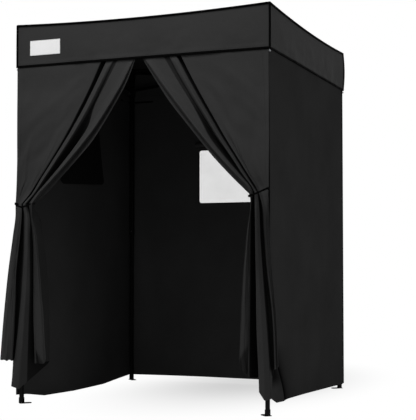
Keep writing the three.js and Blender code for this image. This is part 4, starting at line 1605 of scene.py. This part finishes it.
# Folds of a tied curtain, from its corner to its open edge. For each level the distance inwards from the
# corner and the distance forward of the wall line, in millimetres.
UPPER_LEVELS = (1.955, 1.78, 1.66, 1.555, 1.46, 1.36, 1.26, 1.18)
LOWER_SHARES = (0.0, 0.06, 0.2, 0.42, 0.7, 1.0)
FOLD_RADII = (0, 0.05, 0.006, 0.004, 0.004, 0.005, 0.009, 0.006, 0.006, 0.006, 0.006, 0.01, 0.008, 0.003, 0)
FOLD_SPANS = (10, 12, 3, 1, 3, 3, 3, 4, 1, 4, 3, 3, 2, 3)
LEFT_UPPER = (
    ((-1, -1), (0, 1), (1, 3), (2, 4), (3, 5), (4, 6), (4, 10), (3, 14), (1, 16)),
    ((277, -1), (241, 4), (216, 7), (181, 9), (151, 10), (122, 12), (92, 8), (45, 2), (18, 12)),
    ((551, -1), (472, 8), (409, 14), (350, 19), (291, 23), (224, 28), (155, 34), (99, 38), (51, 38)),
    ((559, -60), (478, -66), (415, -70), (354, -75), (294, -78), (227, -80), (158, -60), (103, -30), (55, 12)),
    ((576, -60), (490, -66), (426, -70), (363, -75), (301, -78), (233, -80), (164, -60), (110, -30), (61, 12)),
    ((585, -3), (496, 6), (431, 12), (367, 17), (305, 21), (236, 26), (167, 32), (114, 38), (64, 42)),
    ((611, -1), (534, 22), (472, 33), (408, 39), (344, 44), (271, 49), (198, 55), (138, 57), (90, 58)),
    ((625, -2), (541, 12), (478, 20), (410, 24), (342, 26), (267, 28), (193, 32), (132, 36), (81, 32)),
    ((635, -6), (547, 2), (484, 4), (426, -12), (358, -38), (280, -80), (201, -80), (135, -60), (87, 6)),
    ((648, -6), (555, 2), (491, 4), (447, -12), (379, -38), (298, -80), (212, -80), (140, -60), (96, 6)),
    ((658, -4), (561, 6), (496, 12), (463, 18), (395, 23), (312, 30), (221, 38), (144, 44), (103, 46)),
    ((731, -4), (628, 10), (549, 18), (480, 24), (404, 29), (320, 36), (229, 42), (151, 46), (110, 48)),
    ((751, -1), (674, 28), (601, 40), (529, 48), (450, 53), (358, 58), (257, 60), (171, 60), (131, 60)),
    ((754, -10), (672, 2), (596, 8), (521, 13), (443, 17), (350, 22), (252, 26), (173, 28), (124, 32)),
    ((757, -1), (694, 14), (625, 23), (558, 29), (489, 33), (393, 36), (288, 34), (201, 32), (134, 32)),
)
LEFT_LOWER = (
    ((1, 16), (2, 16), (-14, 16), (-43, 15), (-71, 14), (-94, 14)),
    ((18, 12), (26, 34), (17, 48), (-7, 56), (-33, 60), (-56, 62)),
    ((51, 38), (59, 44), (53, 50), (34, 58), (31, 64), (18, 68)),
    ((55, 12), (42, 4), (33, 2), (13, 0), (4, 0), (-16, 0)),
    ((61, 12), (47, 4), (44, 2), (33, 0), (12, 0), (-19, 0)),
    ((64, 42), (74, 42), (78, 44), (65, 46), (39, 50), (0, 50)),
    ((90, 58), (104, 66), (109, 70), (103, 74), (87, 76), (68, 78)),
    ((81, 32), (108, 46), (114, 52), (117, 55), (110, 56), (105, 56)),
    ((87, 6), (109, -50), (119, -90), (122, -130), (118, -160), (118, -160)),
    ((96, 6), (110, -50), (123, -90), (127, -130), (125, -160), (129, -160)),
    ((103, 46), (111, 38), (128, 38), (132, 38), (132, 38), (142, 36)),
    ((110, 48), (118, 44), (137, 44), (148, 44), (156, 44), (166, 42)),
    ((131, 60), (124, 48), (143, 47), (164, 46), (183, 44), (198, 42)),
    ((124, 32), (119, 34), (143, 36), (166, 36), (189, 35), (205, 33)),
    ((134, 32), (122, 36), (149, 38), (171, 37), (194, 35), (211, 33)),
)
LEFT_HEM = (0.25, 0.25, 0.247, 0.248, 0.2, 0.1, 0.09, 0.128, 0.215, 0.23, 0.235, 0.233, 0.233, 0.238, 0.258)

RIGHT_UPPER = (
    ((7, -1), (6, 1), (5, 3), (5, 4), (4, 5), (5, 6), (5, 10), (5, 14), (6, 16)),
    ((250, -1), (206, 4), (176, 7), (157, 9), (143, 10), (130, 12), (95, 8), (56, 2), (41, 12)),
    ((526, -1), (433, 8), (364, 14), (301, 19), (244, 23), (179, 28), (113, 34), (61, 38), (49, 38)),
    ((533, -60), (438, -66), (369, -70), (306, -75), (248, -78), (182, -80), (117, -60), (64, -30), (51, 12)),
    ((546, -60), (449, -66), (378, -70), (314, -75), (256, -78), (189, -80), (123, -60), (70, -30), (54, 12)),
    ((553, -3), (454, 6), (383, 12), (318, 17), (260, 21), (193, 26), (127, 32), (73, 38), (56, 42)),
    ((573, -1), (470, 22), (398, 33), (330, 39), (271, 44), (202, 49), (132, 55), (73, 57), (59, 58)),
    ((593, -2), (491, 12), (415, 20), (347, 24), (286, 26), (213, 28), (144, 32), (85, 36), (76, 32)),
    ((604, -6), (500, 2), (424, 4), (357, -12), (298, -38), (223, -80), (148, -80), (86, -60), (77, 6)),
    ((619, -6), (513, 2), (435, 4), (371, -12), (315, -38), (236, -80), (153, -80), (87, -60), (79, 6)),
    ((631, -4), (522, 6), (443, 12), (381, 18), (327, 23), (246, 30), (156, 38), (88, 44), (80, 46)),
    ((710, -4), (582, 10), (487, 18), (406, 24), (331, 29), (248, 36), (161, 42), (91, 46), (84, 48)),
    ((746, -1), (611, 28), (516, 40), (432, 48), (353, 53), (265, 58), (171, 60), (93, 60), (84, 60)),
    ((754, -10), (633, 2), (540, 8), (453, 13), (375, 17), (286, 22), (192, 26), (119, 28), (99, 32)),
    ((757, -1), (641, 14), (557, 23), (470, 29), (391, 33), (306, 36), (212, 34), (130, 32), (104, 32)),
)
RIGHT_LOWER = (
    ((6, 16), (4, 14), (1, 12), (-10, 10), (-31, 8), (-44, 8)),
    ((41, 12), (22, 20), (19, 14), (4, 12), (-21, 8), (-34, 6)),
    ((49, 38), (33, 40), (23, 40), (8, 38), (-22, 36), (-33, 34)),
    ((51, 12), (49, 4), (41, 2), (26, 0), (-3, 0), (-15, 0)),
    ((54, 12), (53, 4), (48, 2), (35, 0), (10, 0), (-7, 0)),
    ((56, 42), (48, 44), (41, 48), (24, 52), (-1, 56), (-20, 58)),
    ((59, 58), (55, 66), (48, 70), (37, 74), (20, 78), (5, 80)),
    ((76, 32), (71, 46), (68, 52), (63, 55), (58, 56), (45, 56)),
    ((77, 6), (79, -50), (79, -90), (77, -130), (75, -160), (68, -160)),
    ((79, 6), (85, -50), (88, -90), (90, -130), (90, -160), (87, -160)),
    ((80, 46), (93, 30), (99, 22), (104, 18), (108, 18), (111, 18)),
    ((84, 48), (93, 34), (104, 32), (115, 32), (122, 32), (124, 32)),
    ((84, 60), (91, 44), (107, 40), (124, 38), (138, 36), (148, 34)),
    ((99, 32), (98, 28), (115, 26), (134, 26), (149, 26), (161, 24)),
    ((104, 32), (95, 30), (114, 30), (137, 28), (153, 26), (168, 24)),
)
RIGHT_HEM = (0.258, 0.252, 0.247, 0.248, 0.2, 0.1, 0.092, 0.135, 0.17, 0.19, 0.202, 0.207, 0.222, 0.232, 0.25)


@dataclass
class Curtain:
    """A front curtain, drawn to its corner and tied, with its strap.

    Attributes:
        shop: The workshop.
        side: -1 for the left one and 1 for the right one.
        upper: The folds above the tie, level by level.
        lower: The folds below it, as shares of the way to the hem.
        hem: The hem's height at each fold.
        strap_centre: The strap's middle, inwards from the corner and forward of the wall line.
        strap_half: Half the strap loop's width and depth.
        width: Declared width of the flat cloth, fitted to the modelled folds.
        length: Declared length of the flat cloth, a guess.
        strap: Declared length of the flat strap, fitted near its modelled loop.
        strap_width: Declared width of the flat strap, a guess.
        tie_level: Height of the tie.
        seed: The fixed seed of its wrinkles.
    """

    # Rows of points above and below the tie, and the share of the rows at which the tie comes
    ROWS_ABOVE = 70
    ROWS_BELOW = 65
    TIE_SHARE = 0.51
    # Points round each fold; the folds' corners between which the cloth is hidden, which is painted in shade;
    # and the fold at the hem's groove, which gets a thin line of painted shade
    PER_FOLD = 7
    HIDDEN = ((1, 4), (6, 9))
    GROOVE = 12

    shop: Workshop
    side: int
    upper: tuple
    lower: tuple
    hem: tuple
    strap_centre: tuple[float, float]
    strap_half: tuple[float, float]
    width: float = 0.89
    length: float = 1.9
    strap: float = 0.36
    strap_width: float = 0.01
    tie_level: float = 1.13
    seed: int = 5

    @property
    def label(self) -> str:
        """The curtain's side in piece names."""
        return "left" if self.side < 0 else "right"

    def place(self, inward: Array, forward: Array, height: Array) -> Array:
        """Points of the curtain in the room's axes.

        Args:
            inward: Distance from the canopy's corner towards the middle of the front.
            forward: Distance forward of the wall line.
            height: Height above the floor.

        Returns:
            An array of points with one more axis than the inputs.
        """
        x = self.side * (HALF - inward)
        y = -WALL_LINE - forward + CENTRE_Y
        return np.stack(np.broadcast_arrays(x, y, height), -1)

    def profile(self) -> tuple[Array, Array, Array]:
        """The curtain's rows of points.

        Returns:
            How far each point lies inward and forward, and its height.
        """
        upper, lower = np.array(self.upper, float) / 1000, np.array(self.lower, float) / 1000
        levels = np.array((*UPPER_LEVELS, self.tie_level))
        heights = levels[0] + (levels[-1] - levels[0]) * np.linspace(0, 1, self.ROWS_ABOVE)
        flat = upper.transpose(1, 0, 2).reshape(len(levels), -1)
        rows = through(-levels, flat, -heights).reshape(len(heights), -1, 2)
        top = np.concatenate([rows, np.repeat(heights[:, None, None], rows.shape[1], 1)], 2)
        shares = np.linspace(0, 1, self.ROWS_BELOW + 1)[1:]
        flat = lower.transpose(1, 0, 2).reshape(len(LOWER_SHARES), -1)
        rows = through(np.array(LOWER_SHARES), flat, shares).reshape(len(shares), -1, 2)
        drop = self.tie_level + (np.array(self.hem)[None, :] - self.tie_level) * shares[:, None]
        bottom = np.concatenate([rows, drop[..., None]], 2)
        run = folded_run(np.concatenate([top, bottom]), FOLD_RADII, FOLD_SPANS, self.PER_FOLD)
        return run[..., 0], run[..., 1], run[..., 2]

    def build(self) -> None:
        """Makes the curtain, its hems' stitches and its strap."""
        inward, forward, height = self.profile()
        run = np.hypot(np.diff(inward[0]), np.diff(forward[0]))
        u = np.append(0, np.cumsum(run)) / run.sum()
        u, v = np.meshgrid(u, np.linspace(0, 1, len(inward)))
        forward = forward + self._slack(u, v)
        height = height + 0.004 * Wrinkles(self.seed + 1).at(u * 14, 0 * v) * smooth(0.9, 1.0, v)
        forward = forward - self._hem_corner(inward, height, u)
        # The top stays behind the valance
        forward = np.minimum(forward, -0.0012 + 0.35 * np.maximum(1.912 - height, 0.0))
        middle = self.place(inward, forward, height)
        edge = np.minimum(np.minimum(u, 1 - u) * 0.9, (1 - v) * self.length)
        thick = CLOTH + 0.001 * (1 - smooth(0.014, 0.018, edge))
        flat = (self.width, self.length)
        # Painted shade on the cloth's front face: its hidden folds, groove, folded corner and streaks
        depth = (self._painted_shade(inward, height, u), 1 if self.side < 0 else 0)
        cloth = self.shop.sheet(f"curtain_cloth_{self.label}", middle, Finish.CURTAIN, thick, flat, depth=depth)
        belongs = Belonging("curtain_fabric", GATHERS[f"curtain_{self.label}"])
        belongs.apply(cloth)
        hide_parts(f"curtain_{self.label}")
        front = np.array([0, -1.0, 0])
        lines = [(along_grid(middle, row=0.992), front)]
        lines += [(along_grid(middle, column=share)[4:], front) for share in (0.015, 0.985)]
        seam = belongs.apply(self.shop.stitches(f"curtain_stitches_{self.label}", lines, 0.0032, 0.007))
        strap = belongs.apply(self._strap())
        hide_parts(f"tieback_{self.label}")

    def _slack(self, u: Array, v: Array) -> Array:
        """How far the cloth's small hollows, tension lines and crumples stand forward.

        Args:
            u: Share of the way from the corner to the open edge.
            v: Share of the way from the top to the hem.

        Returns:
            Distances forward.
        """
        wrinkles, tie = Wrinkles(self.seed), self.TIE_SHARE
        free = smooth(0.02, 0.12, v) * smooth(0.0, 0.05, u)
        panel = smooth(0.62, 0.5, u) * smooth(tie, tie - 0.12, v)
        hollows = 0.0075 * wrinkles.layered(u * 6 + v * 5, v * 9, 2) * panel
        near_tie = smooth(0.22, 0.42, v) * smooth(tie + 0.002, tie - 0.05, v)
        tension = 0.003 * wrinkles.at(u * 42, v * 3 + 5) * near_tie
        crumples = 0.004 * wrinkles.at(u * 26 + 3, v * 5) + 0.002 * wrinkles.at(u * 60, v * 14 + 7)
        fine = 0.0007 * wrinkles.at(u * 70 + 9, v * 40)
        return free * (hollows + tension + crumples * smooth(tie, tie + 0.06, v) + fine)

    @staticmethod
    def _below_crease(inward: Array, height: Array) -> Array:
        """How far a point lies below the slanting crease over the hem's loose corner."""
        return 0.36 - 1.5 * (inward - 0.12) - height

    def _painted_shade(self, inward: Array, height: Array, u: Array) -> Array:
        """Painted shade on the cloth: dark in its hidden folds, a thin dark line along the hem's groove, a dark
        patch below the crease of the hem's loose corner, and dark streaks over the bundle below the tie.

        Args:
            inward: Distance from the canopy's corner towards the middle of the front.
            height: Height above the floor.
            u: Share of the way from the corner to the open edge.

        Returns:
            Painted shade from 0 to 1.
        """
        middles = 1 + np.cumsum(FOLD_SPANS) + self.PER_FOLD * np.arange(len(FOLD_SPANS)) + self.PER_FOLD // 2
        column = np.arange(u.shape[1])[None, :] + 0 * u
        # Painted shade: a thin line at the hem's groove, then the hidden folds
        deep = 0.6 * bump(middles[self.GROOVE], 1.6, column)
        for lip, other in self.HIDDEN:
            within = smooth(middles[lip] - 1, middles[lip] + 3, column)
            deep = deep + within * smooth(middles[other] + 1, middles[other] - 3, column)
        corner = 0.5 * smooth(0.0, 0.012, self._below_crease(inward, height)) * smooth(0.9, 0.93, u)
        shade_streaks = 0.42 * smooth(0.1, 0.7, Wrinkles(8).at(u * 70, height * 2.2)) * smooth(1.12, 1.06, height)
        return np.clip(deep + corner + shade_streaks, 0.0, 1.0)

    def _hem_corner(self, inward: Array, height: Array, u: Array) -> Array:
        """How far the loose corner of the hem tips back below its crease.

        Args:
            inward: Distance from the canopy's corner towards the middle of the front.
            height: Height above the floor.
            u: Share of the way from the corner to the open edge.

        Returns:
            Distances backwards.
        """
        tip = 0.4 * np.clip(self._below_crease(inward, height), 0.0, 0.12)
        return tip * smooth(0.9, 0.93, u) * smooth(0.5, 0.4, height)

    def _strap(self) -> Object:
        """The strap round the bundle, which dips at the front and runs back to the corner.

        Returns:
            The new object.
        """
        turn = np.linspace(0, 2 * math.pi, 97)[:-1]
        if self.side < 0:
            lift = 0.024 * np.abs(np.cos(turn)) ** 1.4 - 0.018
        else:
            lift = 0.008 * np.abs(np.cos(turn)) ** 1.4 - 0.02 * np.cos(turn)
        inward = self.strap_centre[0] + self.strap_half[0] * np.cos(turn)
        forward = self.strap_centre[1] + self.strap_half[1] * np.sin(turn)
        half = self.strap_width / 2
        across = np.linspace(half, -half, 5)[:, None]
        pinch = np.array([0.0, 0.0008, 0.001, 0.0008, 0.0])[:, None]
        middle = self.place(inward + 0 * across, forward + pinch, self.tie_level + lift + across)
        flat = (self.strap, self.strap_width)
        return self.shop.sheet(f"curtain_strap_{self.label}", middle, Finish.WEBBING, 0.0016, flat, wrap=True)


class HardParts:
    """The folding frame's own parts, with their finishes."""

    RULES = (
        (("corner_bracket", "slider_front", "slider_back"), Finish.NYLON),
        (("leg_button", "slider_pin"), Finish.ZINC),
        (("foot", "outer_leg", "inner_leg", "front_bar", "back_bar", "left_bar", "right_bar"), Finish.STEEL),
    )

    def __init__(self, shop: Workshop, frame: dict) -> None:
        """Keeps the workshop and the frame."""
        self.shop, self.frame = shop, frame

    def build(self) -> None:
        """Gives every hard node its finish."""
        for name, node in self.frame["nodes"].items():
            for starts, finish in self.RULES:
                if name.startswith(starts):
                    for slot in node.material_slots:
                        slot.material = self.shop.materials[finish]
                    LOG.info("finished %s", name)


@dataclass
class Studio:
    """The camera, the floor and the soft light.

    Attributes:
        camera_at: The camera's place.
        yaw: How far it is turned to the left, in degrees.
        pitch: How far it looks up, in degrees.
        focal: The focal length over the picture's longer side, in pixels.
        row: The picture's row that the camera looks at squarely.
        column: The picture's column that the camera looks at squarely.
        ambient: Strength of the even light from all round.
        key: Power of the lamp above the front.
        fill: Power of the lamp at the right.
        grey: Shade of the floor under the room.
        shadow_at: Where on the floor the painted shade is darkest, as the camera sees the least white glow
            there.
        shadow_stretch: How much faster the floor turns white sideways than to the front.
        shadow_reach: From where to where the floor turns white.
        shadow_white: How white it is in the middle, from 0 to 1.
    """

    # The picture's width and height in pixels
    PICTURE = (416.0, 420.0)
    SENSOR = 36.0

    camera_at: Point = (2.571, -6.26235, 0.7675)
    yaw: float = 22.17
    pitch: float = 2.21
    focal: float = 1120.8
    row: float = 225.0
    column: float = 190.0
    ambient: float = 0.44
    key: float = 150.0
    fill: float = 6.0
    grey: float = 0.55
    shadow_at: Point = (0.1, 0.8, 0.0)
    shadow_stretch: float = 2.2
    shadow_reach: tuple[float, float] = (0.1, 2.1)
    shadow_white: float = 0.62

    def build(self) -> None:
        """Sets the whole studio."""
        self._camera()
        self._world()
        self._lamp("key_light", (-0.5, -2.8, 5.1), 2.0, self.key)
        self._lamp("fill_light", (4.5, -3.0, 3.2), 3.0, self.fill)
        self._floor()
        bpy.context.scene.view_settings.view_transform = "Standard"

    def _camera(self) -> None:
        """Sets the camera at the photograph's viewing angle."""
        wide, high = self.PICTURE
        data = bpy.data.cameras.new("camera")
        data.sensor_width = self.SENSOR
        data.lens = self.focal * self.SENSOR / high
        data.shift_x = (wide / 2 - self.column) / high
        data.shift_y = (self.row - high / 2) / high
        data.clip_end = 100.0
        camera = bpy.data.objects.new("camera", data)
        camera.location = self.camera_at
        camera.rotation_euler = (math.radians(90.0 + self.pitch), 0.0, math.radians(self.yaw))
        bpy.context.scene.collection.objects.link(camera)
        bpy.context.scene.camera = camera

    def _world(self) -> None:
        """Sets a white background over an even ambient light."""
        world = bpy.data.worlds.new("studio")
        bpy.context.scene.world = world
        world.use_nodes = True
        world.node_tree.nodes.clear()
        desk, white = NodeDesk(world.node_tree), (1, 1, 1, 1)
        seen = desk.add("ShaderNodeBackground", {"Color": white, "Strength": 1.0})
        even = desk.add("ShaderNodeBackground", {"Color": white, "Strength": self.ambient})
        path = desk.add("ShaderNodeLightPath").outputs
        direct = desk.math("MAXIMUM", path["Is Camera Ray"], path["Is Glossy Ray"])
        direct = desk.math("MAXIMUM", direct, path["Is Transmission Ray"])
        mix = desk.add("ShaderNodeMixShader", {0: direct, 1: even.outputs[0], 2: seen.outputs[0]})
        desk.add("ShaderNodeOutputWorld", {"Surface": mix.outputs[0]})

    @staticmethod
    def _lamp(name: str, at: Point, size: float, power: float) -> None:
        """Adds a large soft lamp that looks at the middle of the room.

        Args:
            name: The lamp's name.
            at: Its place.
            size: The length of its sides.
            power: Its power, in watts.
        """
        data = bpy.data.lights.new(name, "AREA")
        data.shape = "SQUARE"
        data.size = size
        data.energy = power
        lamp = bpy.data.objects.new(name, data)
        lamp.location = at
        x, y, z = np.array([0.0, 0.0, 1.1]) - np.array(at)
        lamp.rotation_euler = (math.atan2(math.hypot(x, y), -z), 0.0, math.atan2(y, x) - math.pi / 2)
        bpy.context.scene.collection.objects.link(lamp)

    def _floor(self) -> None:
        """Makes a pale floor that keeps its real shadow, with painted shade and light: for the camera it glows
        white by a share that is least about shadow_at and grows away from it, so it is darker near the room and
        turns white away from it.
        """
        mesh = bpy.data.meshes.new("floor")
        size = 40.0
        corners = [(-size, -size, 0), (size, -size, 0), (size, size, 0), (-size, size, 0)]
        mesh.from_pydata(corners, [], [(0, 1, 2, 3)])
        floor = bpy.data.objects.new("floor", mesh)
        bpy.context.scene.collection.objects.link(floor)
        material, desk, shader = new_material(Finish.FLOOR.value)
        grey = (self.grey, self.grey, self.grey, 1)
        desk.wire(shader, {"Base Color": grey, "Roughness": 0.9, "Specular IOR Level": 0.1})
        place = desk.add("ShaderNodeTexCoord").outputs["Object"]
        away = desk.vector("SUBTRACT", {0: place, 1: self.shadow_at})
        away = desk.vector("MULTIPLY", {0: away, 1: (self.shadow_stretch, 1.0, 1.0)})
        white = desk.add("ShaderNodeMapRange", {
            "Value": desk.vector("LENGTH", {0: away}, "Value"),
            "From Min": self.shadow_reach[0],
            "From Max": self.shadow_reach[1],
            "To Min": self.shadow_white,
            "To Max": 1.0,
        }, interpolation_type="SMOOTHSTEP")
        path = desk.add("ShaderNodeLightPath")
        # Painted shade and light: the camera sees a white glow by this share, least about shadow_at
        share = desk.math("MULTIPLY", path.outputs["Is Camera Ray"], white.outputs["Result"])
        glow = desk.add("ShaderNodeEmission")
        mix = desk.add("ShaderNodeMixShader", {0: share, 1: shader.outputs[0], 2: glow.outputs[0]})
        desk.wire(desk.tree.nodes["Material Output"], {"Surface": mix.outputs[0]})
        mesh.materials.append(material)


# Heights of the walls' lower edges, along each side from its left end as seen from outside
LEFT_HEIGHTS = ((-0.757, 0.034), (-0.34, 0.006), (0.07, 0.004), (0.44, 0.013), (0.64, 0.042), (0.757, 0.05))
BACK_HEIGHTS = ((-0.758, 0.03), (-0.1, 0.034), (0.24, 0.037), (0.54, 0.036), (0.758, 0.034))
RIGHT_HEIGHTS = (
    (-0.757, 0.096), (-0.74, 0.082), (-0.71, 0.068), (-0.63, 0.058),
    (-0.47, 0.062), (-0.18, 0.056), (0.24, 0.044), (0.757, 0.027),
)


def main() -> None:
    """Builds the studio and dresses the frame."""
    logging.basicConfig(level=logging.INFO, format="%(name)s: %(message)s")
    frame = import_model()
    Studio().build()
    shop = Workshop()
    HardParts(shop, frame).build()
    FabricTop(shop).build()
    Wall(shop, Side.LEFT, LEFT_HEIGHTS, LEFT_WINDOW_MID, seed=41).build()
    Wall(shop, Side.RIGHT, RIGHT_HEIGHTS, seed=42).build()
    Wall(shop, Side.BACK, BACK_HEIGHTS, BACK_WINDOW_MID, seed=43).build()
    RolledCover(shop).build()
    LooseCover(shop).build()
    left_strap, right_strap = ((0.072, 0.034), (0.062, 0.034)), ((0.052, 0.034), (0.056, 0.034))
    Curtain(shop, -1, LEFT_UPPER, LEFT_LOWER, LEFT_HEM, *left_strap, seed=51).build()
    Curtain(shop, 1, RIGHT_UPPER, RIGHT_LOWER, RIGHT_HEM, *right_strap, tie_level=1.155, seed=52).build()


if __name__ == "__main__":
    main()
